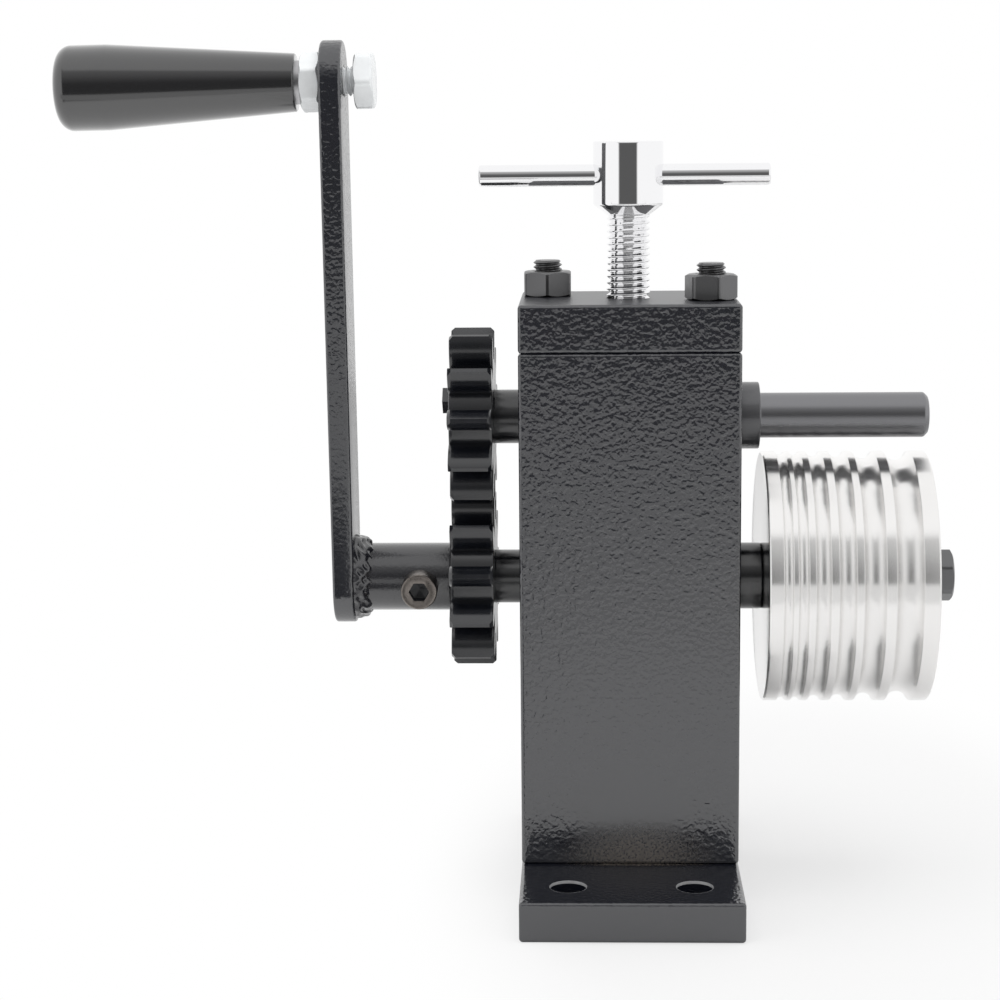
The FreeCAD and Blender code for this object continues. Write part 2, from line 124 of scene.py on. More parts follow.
def length(name, description, default):
    """Return a length property with a default in metres."""
    return bpy.props.FloatProperty(name=name, description=description, default=default,
                                   min=0.0, precision=5, unit="LENGTH")


def colour(name, description, default):
    """Return a colour property."""
    return bpy.props.FloatVectorProperty(name=name, description=description, default=default,
                                         min=0.0, max=1.0, size=3, subtype="COLOR")


class RingRollerSizes(bpy.types.PropertyGroup):
    """Sizes of the detail that is added to the frame."""
    edge: length("Edge rounding", "Rounding of small machined edges", 0.3 * MM)
    coarse_pitch: length("Screw pitch", "Pitch of the pressure screw", 1.75 * MM)
    coarse_depth: length("Screw thread depth", "Depth of the pressure screw's thread", 0.95 * MM)
    fine_pitch: length("Stud pitch", "Pitch of the studs and bolts", 1.25 * MM)
    fine_depth: length("Stud thread depth", "Depth of the stud and bolt threads", 0.68 * MM)
    nut_chamfer: length("Nut chamfer", "How far the corner circle lies inside the flats", 0.35 * MM)
    weld_lump: length("Weld lumps", "Height of the lumps in the weld bead", 1.1 * MM)
    roller_edge: length("Land edges", "Rounding of the roller's land edges", 0.18 * MM)


class RingRollerColours(bpy.types.PropertyGroup):
    """Base colours of the finishes."""
    paint: colour("Paint", "Hammer finish paint", (0.008, 0.009, 0.014))
    warm_patch: colour("Warm patch", "Dust at the foot of the block", (0.066, 0.054, 0.043))
    satin: colour("Hub paint", "Glossy paint of the hub and weld", (0.01, 0.01, 0.014))
    # This colour also gives the painted shade inside the clamp screw's socket
    oxide: colour("Black oxide", "Gears, shafts and dark fasteners", (0.007, 0.008, 0.011))
    fastener: colour("Fasteners", "Cap nuts, studs and roller bolt", (0.165, 0.165, 0.168))
    former: colour("Former", "Plain former and its collar", (0.24, 0.24, 0.25))
    steel: colour("Roller steel", "Polished roller", (0.93, 0.92, 0.91))
    chrome: colour("Chrome", "Pressure screw and bar", (0.92, 0.92, 0.93))
    bright: colour("Machined steel", "Inner machined pieces", (0.5, 0.5, 0.51))
    bronze: colour("Bronze", "Plain bearings", (0.55, 0.36, 0.16))
    zinc: colour("Zinc", "Handle bolt and lock nut", (0.9, 0.92, 0.93))
    alloy: colour("Alloy steel", "Socket screw", (0.2, 0.18, 0.165))
    grip: colour("Grip", "Moulded grip", (0.01, 0.01, 0.011))


class RingRollerStage(bpy.types.PropertyGroup):
    """Camera and light."""
    lens: bpy.props.FloatProperty(name="Lens", description="Focal length on a 36 mm sensor",
                                  default=83.03, min=10.0)
    key: bpy.props.FloatProperty(name="Key light", description="Power of the overhead soft box in watts",
                                 default=4.0, min=0.0)
    fill: bpy.props.FloatProperty(name="Fill light", description="Power of each side soft box in watts",
                                  default=1.6, min=0.0)
    sky: bpy.props.FloatProperty(name="Surround", description="Strength of the white surround",
                                 default=0.65, min=0.0)


def sizes():
    """Return the sizes that the user set."""
    return bpy.context.scene.ring_roller_sizes


def colours():
    """Return the colours that the user set."""
    return bpy.context.scene.ring_roller_colours


def stage_settings():
    """Return the camera and light values that the user set."""
    return bpy.context.scene.ring_roller_stage


# Surfaces: grids of points that wrap round their columns

def add_surface(name, points, body, slot, nodes, ring=False, sharp=35.0):
    """Make one closed piece from a grid of points, to stand for frame nodes on a body.

    Each row is a closed loop. Neighbouring rows are joined by quads. A ring also joins its last
    row to its first; any other surface is closed by a fan at each end. The faces are turned
    outwards by the sign of the enclosed volume.
    """
    rows, columns = points.shape[:2]
    index = np.arange(rows * columns).reshape(rows, columns)
    beside = np.roll(index, -1, axis=1)
    if ring:
        below, below_beside = np.roll(index, -1, axis=0), np.roll(beside, -1, axis=0)
        quads = np.stack([index, beside, below_beside, below], axis=-1)
    else:
        quads = np.stack([index[:-1], beside[:-1], beside[1:], index[1:]], axis=-1)
    quads = quads.reshape(-1, 4)
    vertices = points.reshape(-1, 3)
    fans = np.zeros((0, 3), dtype=int)
    if not ring:
        first_pole = len(vertices)
        poles = np.stack([points[0].mean(axis=0), points[-1].mean(axis=0)])
        vertices = np.concatenate([vertices, poles])
        start = np.stack([beside[0], index[0], np.full(columns, first_pole)], axis=-1)
        end = np.stack([index[-1], beside[-1], np.full(columns, first_pole + 1)], axis=-1)
        fans = np.concatenate([start, end])
    triangles = np.concatenate([quads[:, [0, 1, 2]], quads[:, [0, 2, 3]], fans])
    corners = vertices[triangles] - vertices.mean(axis=0)
    volume = np.einsum("ij,ij->i", corners[:, 0], np.cross(corners[:, 1], corners[:, 2])).sum()
    if volume < 0:
        quads = quads[:, ::-1]
        fans = fans[:, ::-1]
    mesh = bpy.data.meshes.new(name)
    mesh.from_pydata(vertices.tolist(), [], quads.tolist() + fans.tolist())
    mesh.update()
    mesh.shade_smooth()
    mesh.set_sharp_from_angle(angle=math.radians(sharp))
    mesh.materials.append(finish(slot))
    piece = bpy.data.objects.new(name, mesh)
    bpy.context.scene.collection.objects.link(piece)
    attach(piece, body)
    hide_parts(*nodes)
    return piece


def around(count):
    """Return evenly spaced angles of one full turn."""
    return np.arange(count) * 2 * PI / count


def placed(along, radius, angle, origin, axis):
    """Return points at a distance along an axis, at a radius and an angle round it.

    The angle starts at the front and turns right-handed about the axis. For an axis that points
    to the front it starts at the top.
    """
    axis = axis / np.linalg.norm(axis)
    start = FRONT if abs(axis @ FRONT) < 0.9 else UP
    first = start - (start @ axis) * axis
    first = first / np.linalg.norm(first)
    second = np.cross(axis, first)
    along, radius, angle = np.broadcast_arrays(along, radius, angle)
    spoke = np.cos(angle)[..., None] * first + np.sin(angle)[..., None] * second
    return origin + along[..., None] * axis + radius[..., None] * spoke


def softened(corners, rounding, steps=4):
    """Return an open profile whose inner corners are replaced by arcs.

    corners are (along, radius) pairs. Each inner corner is cut back by the rounding, or by just
    under half its shorter side, and a quadratic arc joins the two cuts.
    """
    corners = [np.array(corner, dtype=float) for corner in corners]
    profile = [corners[0]]
    for before, corner, after in zip(corners, corners[1:], corners[2:]):
        sides = [np.linalg.norm(before - corner), np.linalg.norm(after - corner)]
        cut = min(rounding, 0.49 * min(sides))
        start = corner + (before - corner) / sides[0] * cut
        end = corner + (after - corner) / sides[1] * cut
        for step in np.linspace(0.0, 1.0, steps + 1):
            profile.append((1 - step) ** 2 * start + 2 * step * (1 - step) * corner + step ** 2 * end)
    profile.append(corners[-1])
    return np.array(profile)


def profile_rows(profile, columns):
    """Return along, radius and angle grids of a plain turned profile."""
    angle = around(columns)[None, :]
    along = np.repeat(profile[:, :1], columns, axis=1)
    radius = np.repeat(profile[:, 1:], columns, axis=1)
    return along, radius, np.repeat(angle, len(profile), axis=0)


def thread_rows(start, end, outer, depth, pitch, columns, fades=(True, True), per_pitch=20):
    """Return along, radius and angle grids of a right-hand thread.

    The radius falls from the outer radius by the depth in a clipped triangle wave of
    along / pitch - angle / turn. At an end that fades, the depth grows from nothing over half a
    pitch. At any other end a 45 degree cone from the root circle cuts the crests.
    """
    count = max(int(abs(end - start) / pitch * per_pitch), 4)
    along = np.linspace(start, end, count)[:, None]
    angle = around(columns)[None, :]
    wave = np.abs(2 * ((along / pitch - angle / (2 * PI)) % 1.0) - 1)
    crest_share, flank_share = 0.12, 0.76
    cut = np.clip((wave - crest_share) / flank_share, 0.0, 1.0)
    limit = np.full_like(along, outer)
    for edge, fading in zip((start, end), fades):
        near = np.abs(along - edge)
        if fading:
            cut = cut * np.clip(2 * near / pitch, 0.0, 1.0)
        else:
            limit = np.minimum(limit, outer - depth + near)
    radius = np.minimum(outer - depth * cut, limit)
    return np.broadcast_arrays(along, radius, angle)


def hex_wall(flats, angle, turn, corner=0.25 * MM):
    """Return the radius of a hexagon at each angle, with its corners a little rounded."""
    sector = PI / 3
    local = (angle + turn + sector / 2) % sector - sector / 2
    wall = flats / 2 / np.cos(local)
    return np.minimum(wall, flats / math.sqrt(3) - corner)


def hex_face(along, outward, flats, turn, inner, columns):
    """Return the rows of one chamfered end of a hexagon, from its middle out to the wall.

    The flat ends in a circle just inside the flats. From there a 30 degree cone runs out to the
    wall, so it cuts the corners in the usual curves.
    """
    angle = around(columns)
    full = np.ones(columns)
    wall = hex_wall(flats, angle, turn)
    circle = flats / 2 - sizes().nut_chamfer
    soft = sizes().edge / 2
    drop = (wall - circle) * math.tan(math.radians(30))
    rows = [
        (along * full, inner * full),
        (along * full, (circle - soft) * full),
        (along - outward * soft / 4 * full, (circle + soft / 3) * full),
        (along - outward * drop, wall),
    ]
    return (np.array([row[0] for row in rows]), np.array([row[1] for row in rows]),
            np.broadcast_to(angle, (len(rows), columns)))


def turned_back(grid):
    """Return a grid with its rows in the opposite order."""
    return tuple(level[::-1] for level in grid)


def joined(*parts):
    """Return several along, radius and angle grids stacked into one."""
    return tuple(np.concatenate([part[level] for part in parts]) for level in range(3))


# Node groups

def new_group(name, inputs, outputs):
    """Return a shader node group with named sockets, its input node and its output node."""
    group = bpy.data.node_groups.new(name, "ShaderNodeTree")
    for label, kind, default in inputs:
        socket = group.interface.new_socket(name=label, in_out="INPUT", socket_type=kind)
        socket.default_value = default
    for label, kind in outputs:
        group.interface.new_socket(name=label, in_out="OUTPUT", socket_type=kind)
    return group, group.nodes.new("NodeGroupInput"), group.nodes.new("NodeGroupOutput")


def add_node(tree, kind, **values):
    """Return a new node with the given attributes or input values set."""
    node = tree.nodes.new(kind)
    for key, value in values.items():
        if hasattr(node, key):
            setattr(node, key, value)
        else:
            node.inputs[key.replace("_", " ")].default_value = value
    return node


def blotch_group():
    """Build the shared wear: soft patches that lighten a colour and roughen a surface."""
    group, entry, leave = new_group(
        "Blotches",
        [("Colour", "NodeSocketColor", (0.5, 0.5, 0.5, 1.0)), ("Amount", "NodeSocketFloat", 0.2),
         ("Roughness", "NodeSocketFloat", 0.3), ("Spread", "NodeSocketFloat", 0.08),
         ("Size", "NodeSocketFloat", 60.0)],
        [("Colour", "NodeSocketColor"), ("Roughness", "NodeSocketFloat")])
    where = add_node(group, "ShaderNodeTexCoord")
    noise = add_node(group, "ShaderNodeTexNoise", Detail=4.0, Roughness=0.6)
    group.links.new(where.outputs["Object"], noise.inputs["Vector"])
    group.links.new(entry.outputs["Size"], noise.inputs["Scale"])
    centred = combined(group, "SUBTRACT", noise.outputs["Fac"], 0.5)
    gain = combined(group, "MULTIPLY", centred, entry.outputs["Amount"])
    tint = add_node(group, "ShaderNodeVectorMath", operation="SCALE")
    group.links.new(entry.outputs["Colour"], tint.inputs[0])
    group.links.new(combined(group, "ADD", gain, 1.0), tint.inputs["Scale"])
    group.links.new(tint.outputs[0], leave.inputs["Colour"])
    spread = combined(group, "MULTIPLY", centred, entry.outputs["Spread"])
    rough = combined(group, "ADD", spread, entry.outputs["Roughness"])
    group.links.new(rough, leave.inputs["Roughness"])
    return group


def wrinkle_group():
    """Build the hammer finish: soft lumps about a millimetre apart, as a height."""
    group, entry, leave = new_group(
        "Hammer finish", [("Lumps per metre", "NodeSocketFloat", 900.0)], [("Height", "NodeSocketFloat")])
    where = add_node(group, "ShaderNodeTexCoord")
    lumps = add_node(group, "ShaderNodeTexNoise", Detail=0.6, Roughness=0.4, Distortion=0.4)
    group.links.new(where.outputs["Object"], lumps.inputs["Vector"])
    group.links.new(entry.outputs["Lumps per metre"], lumps.inputs["Scale"])
    group.links.new(lumps.outputs["Fac"], leave.inputs["Height"])
    return group


def smooth_step(tree, value, start, end, low_value=0.0, high_value=1.0):
    """Return the socket of a value eased from one level to another between two limits."""
    ramp = add_node(tree, "ShaderNodeMapRange", interpolation_type="SMOOTHSTEP")
    ramp.inputs["From Min"].default_value = start
    ramp.inputs["From Max"].default_value = end
    ramp.inputs["To Min"].default_value = low_value
    ramp.inputs["To Max"].default_value = high_value
    tree.links.new(value, ramp.inputs["Value"])
    return ramp.outputs["Result"]


def combined(tree, operation, first, second):
    """Return the socket of two values, or a value and a number, put together."""
    node = add_node(tree, "ShaderNodeMath", operation=operation)
    for number, value in enumerate((first, second)):
        if isinstance(value, (int, float)):
            node.inputs[number].default_value = value
        else:
            tree.links.new(value, node.inputs[number])
    return node.outputs[0]


def object_axes(tree):
    """Return the sockets of the three Object coordinates."""
    where = add_node(tree, "ShaderNodeTexCoord")
    split = add_node(tree, "ShaderNodeSeparateXYZ")
    tree.links.new(where.outputs["Object"], split.inputs["Vector"])
    return split.outputs["X"], split.outputs["Y"], split.outputs["Z"]


def bare_group():
    """Build the bare metal mask: one on the top rims of the foot's four bolt holes, else nothing."""
    group, entry, leave = new_group(
        "Bare bolt holes",
        [("Across", "NodeSocketFloat", 17 * MM), ("Along", "NodeSocketFloat", 44 * MM),
         ("Radius", "NodeSocketFloat", 5.05 * MM), ("Rim from", "NodeSocketFloat", 10.2 * MM)],
        [("Mask", "NodeSocketFloat")])
    x, y, z = object_axes(group)
    across = combined(group, "SUBTRACT", combined(group, "ABSOLUTE", x, 0.0), entry.outputs["Across"])
    along = combined(group, "SUBTRACT", combined(group, "ABSOLUTE", y, 0.0), entry.outputs["Along"])
    square = combined(group, "ADD", combined(group, "MULTIPLY", across, across),
                      combined(group, "MULTIPLY", along, along))
    inside = combined(group, "LESS_THAN", combined(group, "SQRT", square, 0.0), entry.outputs["Radius"])
    rim = combined(group, "GREATER_THAN", z, entry.outputs["Rim from"])
    group.links.new(combined(group, "MULTIPLY", inside, rim), leave.inputs["Mask"])
    return group


def patch_group():
    """Build a soft speckled patch: one in its middle, nothing outside its three half sizes."""
    group, entry, leave = new_group(
        "Speckled patch",
        [("Centre", "NodeSocketVector", (0.0, 0.0, 0.0)),
         ("Half size", "NodeSocketVector", (0.01, 0.01, 0.01)),
         ("Speckle", "NodeSocketFloat", 0.5)],
        [("Mask", "NodeSocketFloat")])
    where = add_node(group, "ShaderNodeTexCoord")
    offset = add_node(group, "ShaderNodeVectorMath", operation="SUBTRACT")
    group.links.new(where.outputs["Object"], offset.inputs[0])
    group.links.new(entry.outputs["Centre"], offset.inputs[1])
    scaled = add_node(group, "ShaderNodeVectorMath", operation="DIVIDE")
    group.links.new(offset.outputs[0], scaled.inputs[0])
    group.links.new(entry.outputs["Half size"], scaled.inputs[1])
    length_node = add_node(group, "ShaderNodeVectorMath", operation="LENGTH")
    group.links.new(scaled.outputs[0], length_node.inputs[0])
    soft = smooth_step(group, length_node.outputs["Value"], 0.0, 1.0, 1.0, 0.0)
    grain = add_node(group, "ShaderNodeTexNoise", Scale=1600.0, Detail=3.0)
    group.links.new(where.outputs["Object"], grain.inputs["Vector"])
    speck = smooth_step(group, grain.outputs["Fac"], 0.35, 0.7, 0.0, 2.0)
    even = add_node(group, "ShaderNodeMix", data_type="FLOAT")
    group.links.new(entry.outputs["Speckle"], even.inputs["Factor"])
    even.inputs["A"].default_value = 1.0
    group.links.new(speck, even.inputs["B"])
    group.links.new(combined(group, "MULTIPLY", soft, even.outputs["Result"]), leave.inputs["Mask"])
    return group


def shared(name, build):
    """Return a node group, building it the first time it is asked for."""
    return bpy.data.node_groups.get(name) or build()


# Materials

def new_material(name, base, metallic, roughness):
    """Return a material with its Principled shader set to plain values."""
    material = bpy.data.materials.new(name)
    material.use_nodes = True
    shader = material.node_tree.nodes["Principled BSDF"]
    shader.inputs["Base Color"].default_value = (*base, 1.0)
    shader.inputs["Metallic"].default_value = metallic
    shader.inputs["Roughness"].default_value = roughness
    return material, material.node_tree, shader


def group_node(tree, name, build, **values):
    """Return a node of a shared group with some of its inputs set."""
    node = add_node(tree, "ShaderNodeGroup", node_tree=shared(name, build))
    for label, value in values.items():
        node.inputs[label.replace("_", " ")].default_value = value
    return node


def mixed_into(tree, shader, label, mask, value):
    """Mix a shader's input towards a value by a mask."""
    socket = shader.inputs[label]
    coloured = socket.type == "RGBA"
    node = add_node(tree, "ShaderNodeMix", data_type="RGBA" if coloured else "FLOAT")
    start, end = [item for item in node.inputs if item.enabled and item.name in ("A", "B")]
    if socket.links:
        tree.links.new(socket.links[0].from_socket, start)
    else:
        start.default_value = socket.default_value
    end.default_value = value
    factor = next(item for item in node.inputs if item.enabled and item.name == "Factor")
    tree.links.new(mask, factor)
    result = next(item for item in node.outputs if item.enabled)
    tree.links.new(result, socket)


def add_blotches(tree, shader, amount, spread, size):
    """Run a shader's colour and roughness through the shared blotches."""
    group = group_node(tree, "Blotches", blotch_group, Amount=amount, Spread=spread, Size=size)
    group.inputs["Colour"].default_value = shader.inputs["Base Color"].default_value
    group.inputs["Roughness"].default_value = shader.inputs["Roughness"].default_value
    tree.links.new(group.outputs["Colour"], shader.inputs["Base Color"])
    tree.links.new(group.outputs["Roughness"], shader.inputs["Roughness"])


def add_bump(tree, shader, height, strength, distance):
    """Feed a height to the shader's normal."""
    bump = add_node(tree, "ShaderNodeBump")
    bump.inputs["Strength"].default_value = strength
    bump.inputs["Distance"].default_value = distance
    tree.links.new(height, bump.inputs["Height"])
    tree.links.new(bump.outputs["Normal"], shader.inputs["Normal"])


def hammer_paint():
    """Glossy black hammer paint with a lighter, warm, speckled patch at the foot of the block and bare rims at the
    bolt holes.
    """
    material, tree, shader = new_material("hammer paint", colours().paint, 0.0, 0.16)
    shader.inputs["IOR"].default_value = 1.65
    shader.inputs["Specular IOR Level"].default_value = 1.0
    front = low("column_block")[1]
    # A lighter, warm, rougher and speckled patch low on the front of the block
    warm_patch = group_node(tree, "Speckled patch", patch_group, Centre=(2 * MM, front, 12 * MM),
                      Half_size=(26 * MM, 2 * MM, 14 * MM), Speckle=0.8)
    mixed_into(tree, shader, "Base Color", warm_patch.outputs["Mask"], (*colours().warm_patch, 1.0))
    mixed_into(tree, shader, "Roughness", warm_patch.outputs["Mask"], 0.6)
    bare = group_node(tree, "Bare bolt holes", bare_group)
    mixed_into(tree, shader, "Base Color", bare.outputs["Mask"], (*colours().bright, 1.0))
    mixed_into(tree, shader, "Metallic", bare.outputs["Mask"], 0.2)
    mixed_into(tree, shader, "Roughness", bare.outputs["Mask"], 0.5)
    x, _, z = object_axes(tree)
    past_arm = 5 * MM
    right_of_arm = combined(tree, "GREATER_THAN", x, high("crank_arm")[0] + past_arm)
    near_top = smooth_step(tree, z, CAP_TOP - 0.8 * MM, CAP_TOP - 0.1 * MM)
    cap_face = combined(tree, "MULTIPLY", right_of_arm, near_top)
    mixed_into(tree, shader, "Roughness", cap_face, 0.35)
    add_bump(tree, shader, paint_relief(tree, z, right_of_arm, cap_face), 1.0, 0.22 * MM)
    return material


def paint_relief(tree, z, right_of_arm, cap_face):
    """Return the socket of the hammer finish's height.

    The lumps are flatter low on the arm and low on the block, most of all in the middle of its
    foot, and on top of the cap.
    """
    arm_smooth, arm_rough = 125 * MM, 150 * MM
    block_smooth, block_rough = 60 * MM, 98 * MM
    on_arm = smooth_step(tree, z, arm_smooth, arm_rough, 0.25, 0.75)
    on_arm = combined(tree, "MAXIMUM", right_of_arm, on_arm)
    on_top = smooth_step(tree, cap_face, 0.0, 1.0, 1.0, 0.15)
    on_block = smooth_step(tree, z, block_smooth, block_rough, 0.5, 1.0)
    front = low("column_block")[1]
    worn = group_node(tree, "Speckled patch", patch_group, Centre=(0.0, front, 20 * MM),
                      Half_size=(24 * MM, 5 * MM, 26 * MM), Speckle=0.0)
    at_foot = smooth_step(tree, worn.outputs["Mask"], 0.0, 0.6, 1.0, 0.2)
    flatter = combined(tree, "MINIMUM", combined(tree, "MINIMUM", on_arm, on_top),
                       combined(tree, "MULTIPLY", on_block, at_foot))
    lumps = group_node(tree, "Hammer finish", wrinkle_group)
    return combined(tree, "MULTIPLY", lumps.outputs["Height"], flatter)


def satin_paint():
    """Thin glossy paint over the hub and weld, a little grainy."""
    material, tree, shader = new_material("satin paint", colours().satin, 0.0, 0.22)
    shader.inputs["Specular IOR Level"].default_value = 1.0
    shader.inputs["Coat Weight"].default_value = 0.5
    shader.inputs["Coat Roughness"].default_value = 0.12
    lumps = group_node(tree, "Hammer finish", wrinkle_group, Lumps_per_metre=1500.0)
    add_bump(tree, shader, lumps.outputs["Height"], 0.6, 0.08 * MM)
    return material


def black_oxide():
    """Oiled black oxide.

    The plain former is lighter, and its collar less so, with painted shade that keeps the lower side of both
    darker. The fasteners on the cap and at the end of the lower shaft are duller.
    """
    material, tree, shader = new_material("black oxide", colours().oxide, 0.0, 0.2)
    shader.inputs["Specular IOR Level"].default_value = 1.0
    add_blotches(tree, shader, 0.8, 0.15, 140.0)
    x, _, z = object_axes(tree)
    block_side = high("column_block")[0]
    former_left = high("upper_shaft")[0] - FORMER_LENGTH
    below_former = UPPER_Z - 18 * MM
    collar = smooth_step(tree, x, block_side - 0.5 * MM, block_side, 0.0, 0.4)
    plain = smooth_step(tree, x, former_left - 0.2 * MM, former_left + 0.2 * MM, 0.0, 0.6)
    above = smooth_step(tree, z, below_former, below_former + 4 * MM)
    # Painted shade: the lower side of the former and collar takes less of the lighter colour, so it looks darker
    painted_underside_shade = smooth_step(tree, z, UPPER_Z - 4 * MM, UPPER_Z + 1 * MM, 0.55, 1.0)
    former = combined(tree, "MULTIPLY", combined(tree, "ADD", collar, plain),
                      combined(tree, "MULTIPLY", above, painted_underside_shade))
    mixed_into(tree, shader, "Base Color", former, (*colours().former, 1.0))
    mixed_into(tree, shader, "Metallic", former, 1.0)
    mixed_into(tree, shader, "Roughness", former, 0.3)
    on_cap = combined(tree, "GREATER_THAN", z, CAP_TOP)
    past_roller = combined(tree, "GREATER_THAN", x, high("grooved_roller")[0])
    at_end = combined(tree, "MULTIPLY", past_roller, combined(tree, "LESS_THAN", z, below_former))
    fastener = combined(tree, "MAXIMUM", on_cap, at_end)
    mixed_into(tree, shader, "Base Color", fastener, (*colours().fastener, 1.0))
    mixed_into(tree, shader, "Metallic", fastener, 1.0)
    mixed_into(tree, shader, "Roughness", fastener, 0.32)
    return material


def polished_roller():
    """Fine turned steel, smoother on the end face at the block.

    Its turning marks spread reflections along the axis and not round it.
    """
    material, tree, shader = new_material("polished roller", colours().steel, 1.0, 0.27)
    shader.inputs["Anisotropic"].default_value = 0.98
    shader.inputs["Anisotropic Rotation"].default_value = 0.25
    round_axis = add_node(tree, "ShaderNodeTangent", direction_type="RADIAL", axis="X")
    tree.links.new(round_axis.outputs["Tangent"], shader.inputs["Tangent"])
    end_face = combined(tree, "LESS_THAN", object_axes(tree)[0], low("grooved_roller")[0] + SKIN)
    mixed_into(tree, shader, "Roughness", end_face, 0.08)
    return material


def chrome_plate():
    """Bright chrome."""
    return new_material("chrome plate", colours().chrome, 1.0, 0.05)[0]


def bright_steel():
    """Plain machined steel."""
    return new_material("machined steel", colours().bright, 1.0, 0.35)[0]


def bronze():
    """Bearing bronze."""
    return new_material("bearing bronze", colours().bronze, 1.0, 0.32)[0]


def zinc_plate():
    """Bright zinc plate, a little cloudy."""
    material, tree, shader = new_material("zinc plate", colours().zinc, 0.2, 0.25)
    add_blotches(tree, shader, 0.2, 0.1, 300.0)
    return material


def alloy_steel():
    """Grey-brown alloy steel of the clamp screw, with painted shade inside its socket: black and not metallic."""
    material, tree, shader = new_material("alloy steel", colours().alloy, 1.0, 0.3)
    add_blotches(tree, shader, 0.7, 0.2, 900.0)
    origin, axis = clamp_screw_line()
    where = add_node(tree, "ShaderNodeTexCoord")
    offset = add_node(tree, "ShaderNodeVectorMath", operation="SUBTRACT")
    tree.links.new(where.outputs["Object"], offset.inputs[0])
    offset.inputs[1].default_value = origin
    along = add_node(tree, "ShaderNodeVectorMath", operation="DOT_PRODUCT")
    across = add_node(tree, "ShaderNodeVectorMath", operation="CROSS_PRODUCT")
    for node in (along, across):
        tree.links.new(offset.outputs[0], node.inputs[0])
        node.inputs[1].default_value = axis
    radius = add_node(tree, "ShaderNodeVectorMath", operation="LENGTH")
    tree.links.new(across.outputs[0], radius.inputs[0])
    # Painted shade: inside the socket, below the head's end, the colour turns black and not metallic, like shade
    # in the recess
    socket_corner = CLAMP_SOCKET_FLATS * 0.6
    below = combined(tree, "LESS_THAN", along.outputs["Value"], CLAMP_HEAD_END - SKIN)
    inside = combined(tree, "LESS_THAN", radius.outputs["Value"], socket_corner)
    socket = combined(tree, "MULTIPLY", below, inside)
    mixed_into(tree, shader, "Base Color", socket, (*colours().oxide, 1.0))
    mixed_into(tree, shader, "Metallic", socket, 0.0)
    return material


def grip_plastic():
    """Glossy moulded plastic."""
    material, _, shader = new_material("grip plastic", colours().grip, 0.0, 0.16)
    shader.inputs["Specular IOR Level"].default_value = 1.0
    shader.inputs["Coat Weight"].default_value = 1.0
    shader.inputs["Coat Roughness"].default_value = 0.08
    return material


FINISHES = {
    "hammertone_paint": hammer_paint,
    "satin_paint": satin_paint,
    "black_oxide": black_oxide,
    "polished_roller": polished_roller,
    "chrome_plate": chrome_plate,
    "bright_steel": bright_steel,
    "bronze": bronze,
    "zinc_plate": zinc_plate,
    "grey_steel": alloy_steel,
    "grip_plastic": grip_plastic,
}
made = {}


def finish(slot):
    """Return the material of a slot, making it the first time it is asked for."""
    if slot not in made:
        made[slot] = FINISHES[slot]()
    return made[slot]


def dress(slot, *nodes):
    """Give frame nodes the material of their slot."""
    for node in nodes:
        piece = frame["nodes"][node]
        piece.data.materials.clear()
        piece.data.materials.append(finish(slot))


# Pieces

def add_turned(name, corners, origin, axis, body, slot, nodes, rounding=None, columns=128, ring=False):
    """Make a turned piece from its profile of (along, radius) corners, swept round the axis."""
    soft = sizes().edge if rounding is None else rounding
    grid = profile_rows(softened(corners, soft), columns)
    return add_surface(name, placed(*grid, origin, axis), body, slot, nodes, ring)


def make_screw():
    """Make the pressure screw: pilot, thread, tapered collar and round head."""
    bottom, top = low("pressure_screw")[2], high("pressure_screw")[2]
    head = high("pressure_screw")[0]
    shank = 6 * MM
    pilot, pilot_length = 4 * MM, 5 * MM
    thread_above_cap, taper_length = 22.9 * MM, 2.7 * MM
    head_edge = 0.5 * MM
    shoulder = bottom + pilot_length
    neck = CAP_TOP + thread_above_cap
    head_bottom = neck + taper_length
    columns = 96
    depth, pitch = sizes().coarse_depth, sizes().coarse_pitch
    start = profile_rows(softened([(bottom, pilot * INNERMOST), (bottom, pilot), (shoulder, pilot),
                                   (shoulder, shank - depth)], sizes().edge), columns)
    thread = thread_rows(shoulder, neck, shank, depth, pitch, columns)
    collar = profile_rows(softened([(neck, shank), (head_bottom, head), (top, head),
                                    (top, 2 * head * INNERMOST)], head_edge), columns)
    grid = joined(start, thread, collar)
    add_surface("screw_with_thread", placed(*grid, np.zeros(3), UP), "screw", "chrome_plate",
                ["pressure_screw"], sharp=60.0)


def make_tommy_bar():
    """Make the bar through the screw's head, with rounded ends."""
    radius = (high("tommy_bar")[2] - low("tommy_bar")[2]) / 2
    half = (high("tommy_bar")[0] - low("tommy_bar")[0]) / 2
    corners = [(-half, radius * INNERMOST), (-half, radius), (half, radius), (half, radius * INNERMOST)]
    add_turned("rounded_tommy_bar", corners, middle("tommy_bar"), RIGHT, "screw", "chrome_plate",
               ["tommy_bar"], rounding=0.8 * MM, columns=64)


def cap_corner(side):
    """Return the place of the stud on one side of the cap. The two stand on a diagonal."""
    across = high("cap_studs")[:2] - M8_RADIUS
    return np.array([side * across[0], -side * across[1], 0.0])


def make_studs():
    """Make the two threaded studs of the cap."""
    depth, pitch = sizes().fine_depth, sizes().fine_pitch
    bottom, top = low("cap_studs")[2], high("cap_studs")[2]
    columns = 72
    centre = M8_RADIUS * INNERMOST
    for side, name in ((-1, "left_stud"), (1, "right_stud")):
        first = profile_rows(np.array([(bottom, centre)]), columns)
        thread = thread_rows(bottom, top, M8_RADIUS, depth, pitch, columns, (False, False))
        last = profile_rows(np.array([(top, centre)]), columns)
        points = placed(*joined(first, thread, last), cap_corner(side), UP)
        add_surface(name, points, "frame", "black_oxide", ["cap_studs"])


